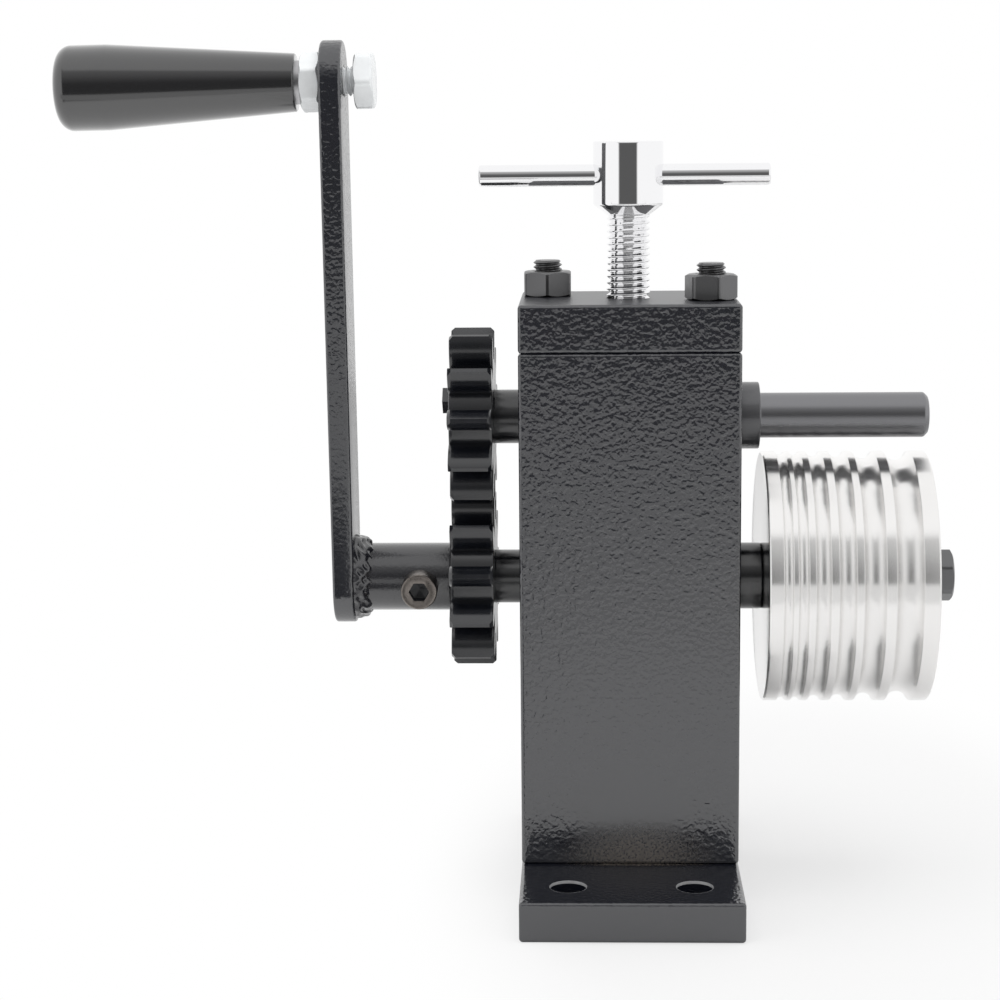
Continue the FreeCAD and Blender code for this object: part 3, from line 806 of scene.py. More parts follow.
def nut_rows(start, end, flats, turn, mouth):
    """Return the grid of a hexagon nut: chamfered outside, with a small countersink at each mouth."""
    columns = 192
    sink = mouth - M8_BORE
    first = profile_rows(np.array([(start + sink, M8_BORE)]), columns)
    lower = hex_face(start, -1, flats, turn, mouth, columns)
    upper = hex_face(end, 1, flats, turn, mouth, columns)
    last = profile_rows(np.array([(end - sink, M8_BORE)]), columns)
    return joined(first, lower, turned_back(upper), last)


def make_cap_nuts():
    """Make the two hexagon nuts, each turned as it is in the photo."""
    bottom, top = low("cap_nuts")[2], high("cap_nuts")[2]
    sink = 0.38 * MM
    for side, turn, name in ((-1, 30.0, "left_cap_nut"), (1, 14.0, "right_cap_nut")):
        grid = nut_rows(bottom, top, M8_FLATS, math.radians(turn), M8_BORE + sink)
        points = placed(*grid, cap_corner(side), UP)
        add_surface(name, points, "frame", "black_oxide", ["cap_nuts"], ring=True)


# Gears and shafts

def involute(angle):
    """Return the involute function of an angle: its tangent less the angle."""
    return np.tan(angle) - angle


def tooth_half_angle(radius):
    """Return a tooth's half angle at each radius.

    A parabola through the involute's half angles at the root, the middle and the tip, where the
    flank below the base circle runs straight to the centre.
    """
    pressure_angle = math.radians(20.0)
    base = GEAR_PITCH_RADIUS * math.cos(pressure_angle)
    at_pitch = PI / (2 * GEAR_TEETH) - GEAR_BACKLASH / (2 * GEAR_PITCH_RADIUS)
    knots = np.array([GEAR_ROOT_RADIUS, (base + GEAR_TIP_RADIUS) / 2, GEAR_TIP_RADIUS])
    values = at_pitch + involute(pressure_angle) - involute(np.arccos(np.minimum(base / knots, 1.0)))
    return np.polyval(np.polyfit(knots, values, 2), radius)


def gear_outline(drop, shrink):
    """Return radius, angle and foot angle of points round a gear: flank, tip, flank and valley.

    The tips are turned down by the drop, and flanks and valleys move inwards by the shrink. The
    foot angles spread a tooth's points evenly over its foot, for the rings of the end faces.
    """
    flank_points, crown_points, valley_points = 9, 5, 7
    climb = np.linspace(GEAR_ROOT_RADIUS, GEAR_TIP_RADIUS - drop, flank_points)
    half = tooth_half_angle(climb) - shrink / climb
    climb[0] -= shrink
    step = 2 * PI / GEAR_TEETH
    crown = np.linspace(-half[-1], half[-1], crown_points + 2)[1:-1]
    valley = np.linspace(half[0], step - half[0], valley_points + 2)[1:-1]
    radius = np.concatenate([climb, np.full(crown_points, climb[-1]), climb[::-1],
                             np.full(valley_points, climb[0])])
    angle = np.concatenate([-half, crown, half[::-1], valley])
    foot = np.concatenate([np.linspace(-half[0], half[0], 2 * flank_points + crown_points), valley])
    turns = np.arange(GEAR_TEETH)[:, None] * step
    return np.tile(radius, GEAR_TEETH), (turns + angle).ravel(), (turns + foot).ravel()


def keyed_bore(bore, half_width, height, angle, key_angle):
    """Return the radius of a bore with a keyway.

    Away from the key it is the bore. Near it, it is the nearer of the keyway's side wall and its
    top, both written as a radius at an angle. The angles are kept away from where either would
    have no end.
    """
    nearest, furthest = 0.001, 1.2
    local = np.abs((angle - key_angle + PI) % (2 * PI) - PI)
    roof = height / np.cos(np.minimum(local, furthest))
    wall = half_width / np.sin(np.clip(local, nearest, PI / 2))
    return np.maximum(bore, np.minimum(roof, wall))


def make_gear(name, node, body, turn):
    """Make one gear: rings of the tooth outline from one face to the other, closed by its bore.

    Towards each face the outline shrinks by a rounded edge, and a cone trims the tips. On the end
    faces a ring just inside the edge and one below the teeth's feet lead to the bore.
    """
    left, right = low(node)[0], high(node)[0]
    centre = np.array([0.0, 0.0, UPPER_Z if node == "driven_gear" else LOWER_Z])
    soft = sizes().edge
    chamfer, below_foot, sink = 1.0 * MM, 1.5 * MM, 0.4 * MM
    fit, key_half_width, key_height = 0.02 * MM, 2.5 * MM, 2.0 * MM
    # How deep each ring lies, how far its tips are turned down and how much its outline shrinks
    steps = ((0.0, chamfer + 0.4 * soft, 1.4 * soft), (0.0, chamfer, soft),
             (0.3 * soft, chamfer - 0.3 * soft, 0.3 * soft), (soft, chamfer - soft, 0.0),
             (chamfer, 0.0, 0.0))
    foot_angle = gear_outline(*steps[0][1:])[2]
    columns = len(foot_angle)
    foot = np.full(columns, GEAR_ROOT_RADIUS - below_foot)
    key_angle = math.radians(GEAR_KEY_ANGLE - turn)
    keyway = (key_half_width + fit, SHAFT_RADIUS + key_height + fit, foot_angle, key_angle)
    bore = keyed_bore(SHAFT_RADIUS + fit, *keyway)
    mouth = keyed_bore(SHAFT_RADIUS + sink, *keyway)
    along, radii, angles = [], [], []

    def ring(depth, ring_radius, ring_angle):
        """Add one ring of the outline."""
        along.append(np.full(columns, depth))
        radii.append(ring_radius)
        angles.append(ring_angle)

    ring(left + sink, bore, foot_angle)
    ring(left, mouth, foot_angle)
    ring(left, foot, foot_angle)
    for depth, drop, shrink in steps:
        ring(left + depth, *gear_outline(drop, shrink)[:2])
    for depth, drop, shrink in steps[::-1]:
        ring(right - depth, *gear_outline(drop, shrink)[:2])
    ring(right, foot, foot_angle)
    ring(right, mouth, foot_angle)
    ring(right - sink, bore, foot_angle)
    turned_up = -(np.array(angles) + math.radians(turn))
    points = placed(np.array(along), np.array(radii), turned_up, centre, RIGHT)
    add_surface(name, points, body, "black_oxide", [node], ring=True, sharp=28.0)


def make_upper_shaft():
    """Make the upper shaft: stub, collar and plain former."""
    left, right = low("upper_shaft")[0], high("upper_shaft")[0]
    collar_left = high("column_block")[0] + COLLAR_GAP
    former_left = right - FORMER_LENGTH
    stub, collar, former = SHAFT_RADIUS, COLLAR_RADIUS, 6.25 * MM
    chamfer = 1.2 * MM
    corners = [(left, stub * INNERMOST), (left, stub), (collar_left, stub), (collar_left, collar),
               (former_left, collar), (former_left, former), (right - chamfer, former),
               (right, former - chamfer), (right, former * INNERMOST)]
    add_turned("turned_upper_shaft", corners, np.array([0.0, 0.0, UPPER_Z]), RIGHT, "upper_roller",
               "black_oxide", ["upper_shaft"], rounding=0.4 * MM)


def make_lower_shaft():
    """Make the lower shaft: crank seat, stub, journal, boss and roller seat."""
    left, right = low("lower_shaft")[0], high("lower_shaft")[0]
    step = low("drive_gear")[0]
    shoulder = high("lower_bush_left")[0] + COLLAR_GAP
    boss_left = high("column_block")[0] + COLLAR_GAP
    boss_right = low("grooved_roller")[0]
    seat, stub, journal, boss = 6 * MM, SHAFT_RADIUS, 8 * MM, COLLAR_RADIUS
    corners = [(left, seat * INNERMOST), (left, seat), (step, seat), (step, stub), (shoulder, stub),
               (shoulder, journal), (boss_left, journal), (boss_left, boss), (boss_right, boss),
               (boss_right, journal), (right, journal), (right, journal * INNERMOST)]
    add_turned("turned_lower_shaft", corners, CRANK_PIVOT, RIGHT, "crank", "black_oxide",
               ["lower_shaft"], rounding=0.4 * MM)


# Grooved roller

def groove_arc(left, width, radius, steps=13):
    """Return the points of one groove: a circular arc through both lips and the bottom.

    The arc starts and ends a little below the lips, and each lip is a small curve from the land.
    """
    depth_share, lip_share = 0.36, 0.75
    depth = depth_share * width
    bend = (width ** 2 / 4 + depth ** 2) / (2 * depth)
    centre = radius - depth + bend
    lip = sizes().roller_edge
    reach = math.acos((centre - radius) / bend) - lip / bend
    swing = np.linspace(-reach, reach, steps)
    arc = np.stack([left + width / 2 + bend * np.sin(swing), centre - bend * np.cos(swing)], axis=-1)
    blends = []
    for corner, outer, inner in ((left, left - lip, arc[0]), (left + width, left + width + lip, arc[-1])):
        step = np.linspace(0.0, lip_share, 4)[:, None]
        land, edge = np.array([outer, radius]), np.array([corner, radius])
        blends.append((1 - step) ** 2 * land + 2 * step * (1 - step) * edge + step ** 2 * inner)
    return np.concatenate([blends[0], arc, blends[1][::-1]])


def make_roller():
    """Make the grooved roller: a ring swept from its profile of lands and round grooves."""
    left, right = low("grooved_roller")[0], high("grooved_roller")[0]
    radius, bore = 35 * MM, 8.02 * MM
    rim, rounding = 0.4 * MM, 0.25 * MM
    widths = np.array([2.6, 2.8, 4.0, 4.6, 5.9, 7.2]) * MM
    lands = np.array([3.9, 1.3, 1.85, 2.2, 2.0, 2.75]) * MM
    starts = left + np.cumsum(lands) + np.concatenate([[0.0], np.cumsum(widths)[:-1]])
    grooves = [groove_arc(start, width, radius) for start, width in zip(starts, widths)]
    near = softened([(left + rim, bore), (left, bore + rim), (left, radius - rim), (left + rim, radius),
                     grooves[0][0]], rounding)[:-1]
    far = softened([grooves[-1][-1], (right - rim, radius), (right, radius - rim), (right, bore + rim),
                    (right - rim, bore)], rounding)[1:]
    grid = profile_rows(np.concatenate([near, *grooves, far]), 256)
    add_surface("polished_grooved_roller", placed(*grid, CRANK_PIVOT, RIGHT), "crank", "polished_roller",
                ["grooved_roller"], ring=True)


def add_bolt(name, node, body, slot, origin, axis, places, flats, turn):
    """Make a hexagon bolt: threaded shank and a head that is chamfered on both sides.

    places are the distances along the axis of the shank's tip, the head and the head's end.
    """
    tip, head, end = places
    columns = 96
    depth, pitch = sizes().fine_depth, sizes().fine_pitch
    first = profile_rows(np.array([(tip, M8_RADIUS * INNERMOST)]), columns)
    thread = thread_rows(tip, head, M8_RADIUS, depth, pitch, columns, (False, True))
    under = hex_face(head, -1, flats, turn, M8_RADIUS, columns)
    outside = turned_back(hex_face(end, 1, flats, turn, 2 * M8_RADIUS * INNERMOST, columns))
    grid = joined(first, thread, under, outside)
    add_surface(name, placed(*grid, origin, axis), body, slot, [node])


def sleeve(left, right, bore, radius):
    """Return the profile of a plain tube. Its two ends leave a narrow seam inside the bore."""
    seam = 0.1 * MM
    centre = (left + right) / 2
    return [(centre, bore), (left, bore), (left, radius), (right, radius), (right, bore),
            (centre + seam, bore)]


def make_roller_bolt():
    """Make the bolt and the washer that hold the roller."""
    shank = 25 * MM
    head, end = high("roller_washer")[0], high("roller_bolt")[0]
    add_bolt("chamfered_roller_bolt", "roller_bolt", "crank", "black_oxide", CRANK_PIVOT, RIGHT,
             (head - shank, head, end), M8_FLATS, 0.0)
    corners = sleeve(low("roller_washer")[0], head, M8_BORE, high("roller_washer")[1])
    add_turned("turned_washer", corners, CRANK_PIVOT, RIGHT, "crank", "black_oxide", ["roller_washer"],
               ring=True)


# Crank

def crank_leaned(points):
    """Return points drawn on the upright crank, leaned to the front about the lower shaft."""
    sine, cosine = math.sin(CRANK_LEAN), math.cos(CRANK_LEAN)
    depth = points[..., 1]
    height = points[..., 2] - LOWER_Z
    return np.stack([points[..., 0], depth * cosine - height * sine,
                     LOWER_Z + depth * sine + height * cosine], axis=-1)


def make_crank_arm():
    """Make the flat arm: rings of its outline from one face to the other, closed by the bolt hole.

    The outline is a line of points swept round the two end centres at one radius, which shrinks in
    a quarter circle towards each face.
    """
    left, right = low("crank_arm")[0], high("crank_arm")[0]
    half = high("crank_arm")[2] - HANDLE_PIVOT[2]
    reach = math.hypot(HANDLE_PIVOT[1], HANDLE_PIVOT[2] - LOWER_Z)
    tail = LOWER_Z - (LOWER_Z - low("crank_arm")[2] - half) / math.cos(CRANK_LEAN)
    top = LOWER_Z + reach
    columns = 160
    angle = around(columns)
    middles = np.where(np.cos(angle) >= 0, top, tail)
    edge, sink, hole = 0.8 * MM, 0.3 * MM, 4.08 * MM
    swing = np.linspace(0.0, PI / 2, 6)
    rows = []

    def ring(x, radius, centres):
        """Add one ring of the outline."""
        across, height = radius * np.sin(angle), centres + radius * np.cos(angle)
        rows.append(np.stack([np.full(columns, x), across, height], axis=-1))

    ring(left + sink, hole, np.full(columns, top))
    ring(left, hole + sink, np.full(columns, top))
    for turn in swing:
        ring(left + edge * (1 - math.cos(turn)), half - edge * (1 - math.sin(turn)), middles)
    for turn in swing[::-1]:
        ring(right - edge * (1 - math.cos(turn)), half - edge * (1 - math.sin(turn)), middles)
    ring(right, hole + sink, np.full(columns, top))
    ring(right - sink, hole, np.full(columns, top))
    add_surface("rounded_crank_arm", crank_leaned(np.array(rows)), "crank", "hammertone_paint",
                ["crank_arm"], ring=True)


def make_hub():
    """Make the tube over the shaft end and the lumpy weld bead that joins it to the arm."""
    left, right = low("crank_hub")[0], high("crank_hub")[0]
    radius = high("crank_hub")[2] - LOWER_Z
    bore = 6.02 * MM
    add_turned("turned_hub", sleeve(left, right, bore, radius), CRANK_PIVOT, RIGHT, "crank",
               "satin_paint", ["crank_hub"], rounding=0.5 * MM, ring=True)
    make_weld(left, radius)


def make_weld(left, hub):
    """Make the weld bead.

    Each section runs from the arm down to the hub over a bulge. Its distance from the corner
    between arm and hub shrinks by waves round the bead, which are never deeper than the lumps.
    The waves are a level share of the lumps' height, plus ripples, patches and squared pits, each
    made of sines of the angle and of the step along the section.
    """
    fit = 0.02 * MM
    foot = hub + fit
    height, width, bulge = 2.7 * MM, 5.2 * MM, 0.5 * MM
    columns = 288
    angle = around(columns)[None, :]
    step = np.linspace(0.0, 1.0, 19)[:, None]
    ripple = np.sin(7 * angle + 2 * np.sin(4 * angle) + 4 * step)
    patches = np.sin(5 * angle + 1.3 + 3 * step) * np.sin(11 * angle + 0.4 - 5 * step)
    pits = (np.sin(6 * angle + 4 * step + 1.5 * np.sin(3 * angle)) * np.sin(9 * angle - 6 * step)) ** 2
    waves = 0.3 + 0.16 * ripple + 0.14 * patches + 0.4 * pits
    scale = 1 - sizes().weld_lump / height * waves
    swell = bulge * np.sin(PI * step)
    along = scale * (width * step + swell)
    radius = foot + scale * (height * (1 - step) + swell)
    back = np.zeros((1, columns))
    along = left + np.concatenate([back, along, np.full((1, columns), width / 2)])
    radius = np.concatenate([back + foot, radius, back + foot])
    along, radius, angle = np.broadcast_arrays(along, radius, angle)
    add_surface("lumpy_weld", placed(along, radius, angle, CRANK_PIVOT, RIGHT), "crank", "satin_paint",
                ["crank_weld"], ring=True, sharp=60.0)


def clamp_screw_line():
    """Return the point on the shaft's axis that the clamp screw points at, and its direction."""
    origin = CRANK_PIVOT + RIGHT * middle("clamp_screw")[0]
    return origin, np.array([0.0, -math.cos(CRANK_LEAN), -math.sin(CRANK_LEAN)])


def make_clamp_screw():
    """Make the socket screw: shank, round head and hexagon socket."""
    origin, axis = clamp_screw_line()
    columns = 96
    shank, head = 3 * MM, 5 * MM
    tip, neck, end = 4 * MM, 11 * MM, CLAMP_HEAD_END
    mouth, rounding = CLAMP_SOCKET_FLATS * 0.68, 0.6 * MM
    sink, depth, drill_point = 0.2 * MM, 3 * MM, 0.8 * MM
    outside = profile_rows(softened([(tip, shank * INNERMOST), (tip, shank), (neck, shank), (neck, head),
                                     (end, head), (end, mouth)], rounding), columns)
    angle = around(columns)
    wall = hex_wall(CLAMP_SOCKET_FLATS, angle, 0.0, 0.1 * MM)
    places = np.array([end - sink, end - depth, end - depth - drill_point])
    along = np.repeat(places[:, None], columns, axis=1)
    radius = np.stack([wall, wall, wall / 6])
    grid = joined(outside, (along, radius, np.broadcast_to(angle, along.shape)))
    add_surface("socket_clamp_screw", placed(*grid, origin, axis), "crank", "grey_steel", ["clamp_screw"])


# Handle

def make_handle_bolt():
    """Make the zinc plated bolt, threaded from the grip to its head."""
    tip, head, end = -47.8 * MM, 6 * MM, 11.3 * MM
    turn = math.radians(28.7) - CRANK_LEAN
    add_bolt("zinc_handle_bolt", "handle_bolt", "handle", "zinc_plate", HANDLE_PIVOT, HANDLE_AXIS,
             (tip, head, end), HANDLE_FLATS, turn)


def make_lock_nut():
    """Make the nut between arm and grip, chamfered at both ends."""
    turn = math.radians(-2.8) - CRANK_LEAN
    start, end, sink = -8.6 * MM, -3.2 * MM, 0.4 * MM
    grid = nut_rows(start, end, HANDLE_FLATS, turn, M8_BORE + sink)
    add_surface("zinc_lock_nut", placed(*grid, HANDLE_PIVOT, HANDLE_AXIS), "handle", "zinc_plate",
                ["handle_lock_nut"], ring=True)


def make_grip():
    """Make the grip: shallow dome, rounded corner, short straight and long taper."""
    end, mouth = -75.1 * MM, -9.8 * MM
    big, small, corner, dome = 11.5 * MM, 7.8 * MM, 4 * MM, 0.6 * MM
    straight, rounding = 14 * MM, 0.6 * MM
    spread = np.linspace(0.15, 1.0, 10) * (big - corner)
    crown = np.stack([end + dome * (spread / (big - corner)) ** 2, spread], axis=-1)
    swing = np.linspace(0.12, 1.0, 12) * PI / 2
    shoulder = np.stack([end + dome + corner * (1 - np.cos(swing)), big - corner + corner * np.sin(swing)],
                        axis=-1)
    sides = softened([shoulder[-1], (end + straight, big), (mouth, small), (mouth, small * INNERMOST)],
                     rounding)
    profile = np.concatenate([crown, shoulder, sides[1:]])
    grid = profile_rows(profile, 128)
    add_surface("moulded_grip", placed(*grid, HANDLE_PIVOT, HANDLE_AXIS), "handle", "grip_plastic",
                ["handle_grip"])


# Stage

# The low white card that stands in front of the object, up to about the lower edge of the picture
CARD_Y = -0.36
CARD_TOP = 0.108


def new_sheet(name, corners, material):
    """Return a flat four-cornered sheet with its material."""
    mesh = bpy.data.meshes.new(name)
    mesh.from_pydata(corners, [], [(0, 1, 2, 3)])
    mesh.materials.append(material)
    sheet = bpy.data.objects.new(name, mesh)
    bpy.context.scene.collection.objects.link(sheet)
    return sheet


def make_front_card():
    """Make the white card that glossy faces mirror below the dark room. Only mirrors show it."""
    left, right = -0.6, 0.6
    corners = [(left, CARD_Y, 0.0), (right, CARD_Y, 0.0),
               (right, CARD_Y, CARD_TOP), (left, CARD_Y, CARD_TOP)]
    material = bpy.data.materials.new("white card")
    material.use_nodes = True
    tree = material.node_tree
    glow = add_node(tree, "ShaderNodeEmission", Strength=0.73)
    tree.links.new(glow.outputs["Emission"], tree.nodes["Material Output"].inputs["Surface"])
    card = new_sheet("front_card", corners, material)
    card.visible_camera = False
    card.visible_diffuse = False
    card.visible_transmission = False
    card.visible_shadow = False


def make_bench_top():
    """Make the pale floor under the base. It ends beside the crank, which swings past it."""
    left, right, front, back = -0.066, 1.2, CARD_Y, 1.2
    below = -0.05 * MM
    corners = [(left, front, below), (right, front, below), (right, back, below), (left, back, below)]
    floor = new_sheet("bench_top", corners, bench_material())


def bench_material():
    """Pale matt floor that fades into the white background away from the object.

    The camera sees part of it as plain white: all of it outside an oval on the roller's side, and
    less towards the middle of that oval.
    """
    material, tree, shader = new_material("pale bench", (0.9, 0.9, 0.9), 0.0, 0.9)
    shader.inputs["Specular IOR Level"].default_value = 0.1
    oval_shift, oval_scale = (-0.457, 0.0, 0.0), (8.3, 4.0, 1.0)
    where = add_node(tree, "ShaderNodeTexCoord")
    mapping = add_node(tree, "ShaderNodeMapping")
    mapping.inputs["Location"].default_value = oval_shift
    mapping.inputs["Scale"].default_value = oval_scale
    tree.links.new(where.outputs["Object"], mapping.inputs["Vector"])
    ball = add_node(tree, "ShaderNodeTexGradient", gradient_type="SPHERICAL")
    tree.links.new(mapping.outputs["Vector"], ball.inputs["Vector"])
    whiteness = smooth_step(tree, ball.outputs["Fac"], 0.0, 0.45, 1.0, 0.6)
    white = add_node(tree, "ShaderNodeEmission", Strength=1.0)
    path = add_node(tree, "ShaderNodeLightPath")
    seen = combined(tree, "MULTIPLY", path.outputs["Is Camera Ray"], whiteness)
    mix = add_node(tree, "ShaderNodeMixShader")
    tree.links.new(seen, mix.inputs["Fac"])
    tree.links.new(shader.outputs["BSDF"], mix.inputs[1])
    tree.links.new(white.outputs["Emission"], mix.inputs[2])
    tree.links.new(mix.outputs["Shader"], tree.nodes["Material Output"].inputs["Surface"])
    return material


def make_world():
    """Make the white surround. Mirrors see a dark room behind the camera and white elsewhere."""
    world = bpy.data.worlds.new("white studio")
    bpy.context.scene.world = world
    world.use_nodes = True
    tree = world.node_tree
    light = tree.nodes["Background"]
    light.inputs["Color"].default_value = (1.0, 1.0, 1.0, 1.0)
    light.inputs["Strength"].default_value = stage_settings().sky
    mirrored = add_node(tree, "ShaderNodeBackground", Strength=1.0)
    tree.links.new(dark_room(tree), mirrored.inputs["Color"])
    shown = add_node(tree, "ShaderNodeBackground", Strength=1.0)
    shown.inputs["Color"].default_value = (1.0, 1.0, 1.0, 1.0)
    path = add_node(tree, "ShaderNodeLightPath")
    first = add_node(tree, "ShaderNodeMixShader")
    tree.links.new(path.outputs["Is Glossy Ray"], first.inputs["Fac"])
    tree.links.new(light.outputs["Background"], first.inputs[1])
    tree.links.new(mirrored.outputs["Background"], first.inputs[2])
    second = add_node(tree, "ShaderNodeMixShader")
    plain = combined(tree, "MAXIMUM", path.outputs["Is Camera Ray"], path.outputs["Is Transmission Ray"])
    tree.links.new(plain, second.inputs["Fac"])
    tree.links.new(first.outputs["Shader"], second.inputs[1])
    tree.links.new(shown.outputs["Background"], second.inputs[2])
    tree.links.new(second.outputs["Shader"], tree.nodes["World Output"].inputs["Surface"])


def dark_room(tree):
    """Return the brightness of each direction: dark in a box behind the camera, else white.

    The box spans about 30 degrees to either side and reaches from the table up to where the
    ceiling light starts. It grows lighter with height.
    """
    where = add_node(tree, "ShaderNodeTexCoord")
    split = add_node(tree, "ShaderNodeSeparateXYZ")
    tree.links.new(where.outputs["Generated"], split.inputs["Vector"])
    x, y, z = split.outputs["X"], split.outputs["Y"], split.outputs["Z"]
    shift = 0.03
    off_centre = combined(tree, "ABSOLUTE", combined(tree, "ADD", x, shift), 0.0)
    beside = smooth_step(tree, off_centre, 0.43, 0.55)
    ahead = smooth_step(tree, y, -0.45, -0.25)
    ceiling = smooth_step(tree, z, 0.6, 0.76)
    table = smooth_step(tree, z, -0.6, -0.5, 1.0, 0.0)
    light = combined(tree, "MAXIMUM", combined(tree, "MAXIMUM", beside, ahead),
                     combined(tree, "MAXIMUM", ceiling, table))
    depth = smooth_step(tree, z, 0.1, 0.75, 0.1, 0.5)
    return combined(tree, "MAXIMUM", light, depth)


def aimed(position, target):
    """Return the matrix of a lamp at a position that points at a target."""
    back = np.array(position) - np.array(target)
    back = back / np.linalg.norm(back)
    side = np.cross(UP, back)
    side = side / np.linalg.norm(side) if np.linalg.norm(side) > 0.01 else RIGHT
    columns = np.stack([side, np.cross(back, side), back], axis=-1)
    matrix = np.eye(4)
    matrix[:3, :3] = columns
    matrix[:3, 3] = position
    return Matrix(matrix.tolist())


def add_soft_box(name, position, width, height, power):
    """Add a rectangular area lamp that points at the middle of the object.

    Mirrors don't show it: they see the surround and the card alone.
    """
    lamp = bpy.data.lights.new(name, "AREA")
    lamp.shape = "RECTANGLE"
    lamp.size = width
    lamp.size_y = height
    lamp.energy = power
    holder = bpy.data.objects.new(name, lamp)
    object_middle = (0.0, 0.0, 0.12)
    holder.matrix_world = aimed(position, object_middle)
    holder.visible_glossy = False
    bpy.context.scene.collection.objects.link(holder)


def make_camera():
    """Place the camera where the photo was taken from, by the fit of the photo's edges."""
    yaw, pitch, roll = 0.03812, 0.16568, -0.0097009
    place = (-0.01167, -0.63968, 0.21633)
    forward = np.array([-math.sin(yaw) * math.cos(pitch), math.cos(yaw) * math.cos(pitch),
                        -math.sin(pitch)])
    level = np.array([math.cos(yaw), math.sin(yaw), 0.0])
    upright = np.cross(level, forward)
    side = math.cos(roll) * level + math.sin(roll) * upright
    over = -math.sin(roll) * level + math.cos(roll) * upright
    lens = bpy.data.cameras.new("camera")
    lens.sensor_width = 36.0
    lens.lens = stage_settings().lens
    matrix = np.eye(4)
    matrix[:3, :3] = np.stack([side, over, -forward], axis=-1)
    matrix[:3, 3] = place
    camera = bpy.data.objects.new("camera", lens)
    camera.matrix_world = Matrix(matrix.tolist())
    bpy.context.scene.collection.objects.link(camera)
    bpy.context.scene.camera = camera


def make_stage():
    """Set up floor, card, surround, lamps and camera."""
    make_bench_top()
    make_front_card()
    make_world()
    settings = stage_settings()
    add_soft_box("overhead_box", (0.0, -0.1, 1.0), 0.9, 0.9, settings.key)
    add_soft_box("left_box", (-0.9, -0.5, 0.35), 0.6, 0.8, settings.fill)
    add_soft_box("right_box", (0.9, -0.5, 0.35), 0.6, 0.8, settings.fill)
    make_camera()
    bpy.context.scene.view_settings.view_transform = "Standard"


# Operators

class RINGROLLER_OT_finishes(bpy.types.Operator):
    """Give the frame's own pieces their paint, oxide and bearing finishes"""
    bl_idname = "ring_roller.finishes"
    bl_label = "Block and Inner Pieces"

    def execute(self, context):
        for row in frame["record"]["subparts"]:
            dress(row["material_slot"], row["node"])
        return {"FINISHED"}


class RINGROLLER_OT_screw(bpy.types.Operator):
    """Make the pressure screw and its bar"""
    bl_idname = "ring_roller.screw"
    bl_label = "Pressure Screw"

    def execute(self, context):
        make_screw()
        make_tommy_bar()
        return {"FINISHED"}


class RINGROLLER_OT_cap_fasteners(bpy.types.Operator):
    """Make the studs and nuts of the cap"""
    bl_idname = "ring_roller.cap_fasteners"
    bl_label = "Cap Studs and Nuts"

    def execute(self, context):
        make_studs()
        make_cap_nuts()
        return {"FINISHED"}


class RINGROLLER_OT_gears(bpy.types.Operator):
    """Make the two gears"""
    bl_idname = "ring_roller.gears"
    bl_label = "Gears"

    def execute(self, context):
        make_gear("upper_gear_teeth", "driven_gear", "upper_roller", 4.7)
        make_gear("lower_gear_teeth", "drive_gear", "crank", 11.1)
        return {"FINISHED"}


class RINGROLLER_OT_shafts(bpy.types.Operator):
    """Make the upper and the lower shaft"""
    bl_idname = "ring_roller.shafts"
    bl_label = "Shafts"

    def execute(self, context):
        make_upper_shaft()
        make_lower_shaft()
        return {"FINISHED"}


class RINGROLLER_OT_roller(bpy.types.Operator):
    """Make the grooved roller with its bolt and washer"""
    bl_idname = "ring_roller.roller"
    bl_label = "Grooved Roller"

    def execute(self, context):
        make_roller()
        make_roller_bolt()
        return {"FINISHED"}


class RINGROLLER_OT_crank(bpy.types.Operator):
    """Make the crank arm, its hub, weld and clamp screw"""
    bl_idname = "ring_roller.crank"
    bl_label = "Crank"

    def execute(self, context):
        make_crank_arm()
        make_hub()
        make_clamp_screw()
        return {"FINISHED"}


class RINGROLLER_OT_handle(bpy.types.Operator):
    """Make the handle bolt, its lock nut and the grip"""
    bl_idname = "ring_roller.handle"
    bl_label = "Handle"

    def execute(self, context):
        make_handle_bolt()
        make_lock_nut()
        make_grip()
        return {"FINISHED"}


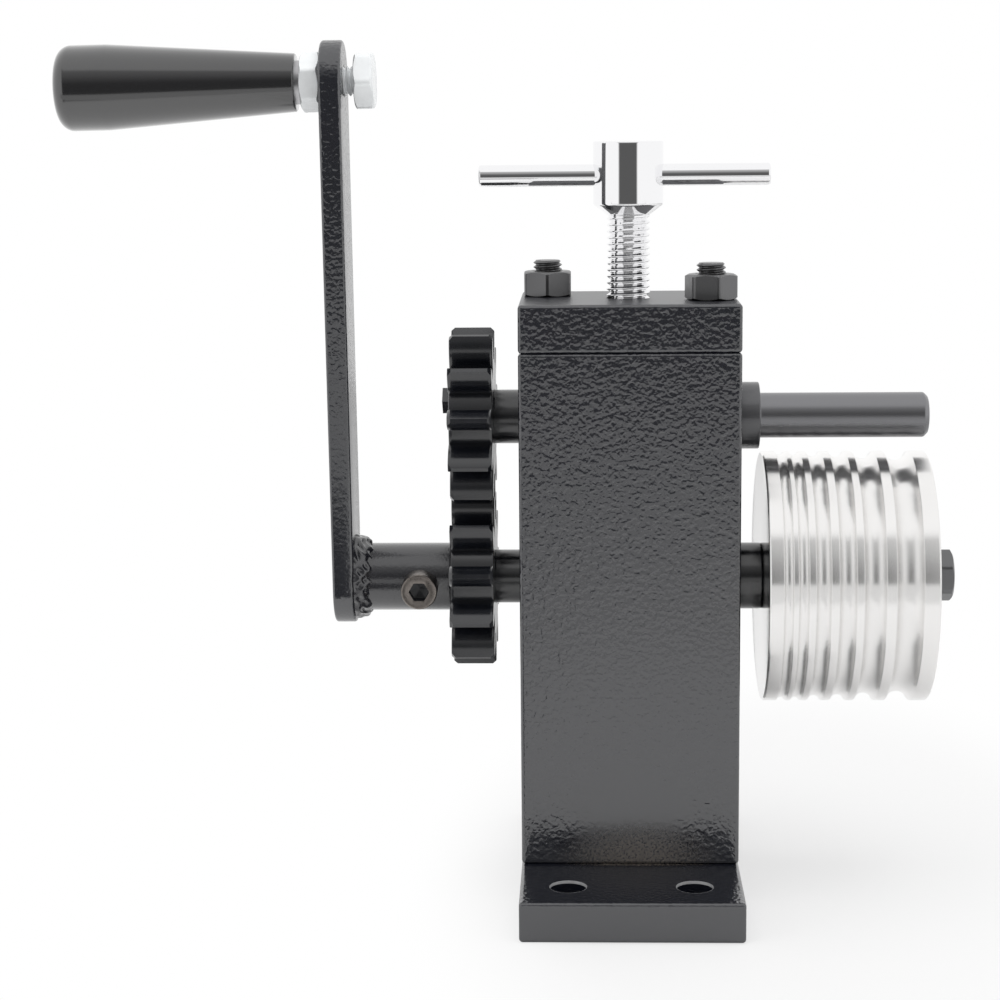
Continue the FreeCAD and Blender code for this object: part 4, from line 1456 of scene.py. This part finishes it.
class RINGROLLER_OT_stage(bpy.types.Operator):
    """Set up the floor, the light and the camera"""
    bl_idname = "ring_roller.stage"
    bl_label = "Stage"

    def execute(self, context):
        make_stage()
        return {"FINISHED"}


class RINGROLLER_PT_panel(bpy.types.Panel):
    """Lists the steps in the order they run"""
    bl_idname = "RINGROLLER_PT_panel"
    bl_label = "Ring Roller"
    bl_space_type = "VIEW_3D"
    bl_region_type = "UI"
    bl_category = "Ring Roller"

    def draw(self, context):
        for operator in OPERATORS:
            self.layout.operator(operator.bl_idname)
        for group in (sizes(), colours(), stage_settings()):
            for name in group.__annotations__:
                self.layout.prop(group, name)


GROUPS = (RingRollerSizes, RingRollerColours, RingRollerStage)
OPERATORS = (RINGROLLER_OT_finishes, RINGROLLER_OT_screw, RINGROLLER_OT_cap_fasteners, RINGROLLER_OT_gears,
             RINGROLLER_OT_shafts, RINGROLLER_OT_roller, RINGROLLER_OT_crank, RINGROLLER_OT_handle,
             RINGROLLER_OT_stage)
CLASSES = GROUPS + OPERATORS + (RINGROLLER_PT_panel,)


def register():
    """Register the classes and hang the settings on the scene."""
    for item in CLASSES:
        bpy.utils.register_class(item)
    bpy.types.Scene.ring_roller_sizes = bpy.props.PointerProperty(type=RingRollerSizes)
    bpy.types.Scene.ring_roller_colours = bpy.props.PointerProperty(type=RingRollerColours)
    bpy.types.Scene.ring_roller_stage = bpy.props.PointerProperty(type=RingRollerStage)


def unregister():
    """Undo register."""
    del bpy.types.Scene.ring_roller_stage
    del bpy.types.Scene.ring_roller_colours
    del bpy.types.Scene.ring_roller_sizes
    for item in reversed(CLASSES):
        bpy.utils.unregister_class(item)


def main():
    """Register the add-on and run its operators in order."""
    register()
    bpy.ops.ring_roller.finishes()
    bpy.ops.ring_roller.screw()
    bpy.ops.ring_roller.cap_fasteners()
    bpy.ops.ring_roller.gears()
    bpy.ops.ring_roller.shafts()
    bpy.ops.ring_roller.roller()
    bpy.ops.ring_roller.crank()
    bpy.ops.ring_roller.handle()
    bpy.ops.ring_roller.stage()


if __name__ == "__main__":
    main()
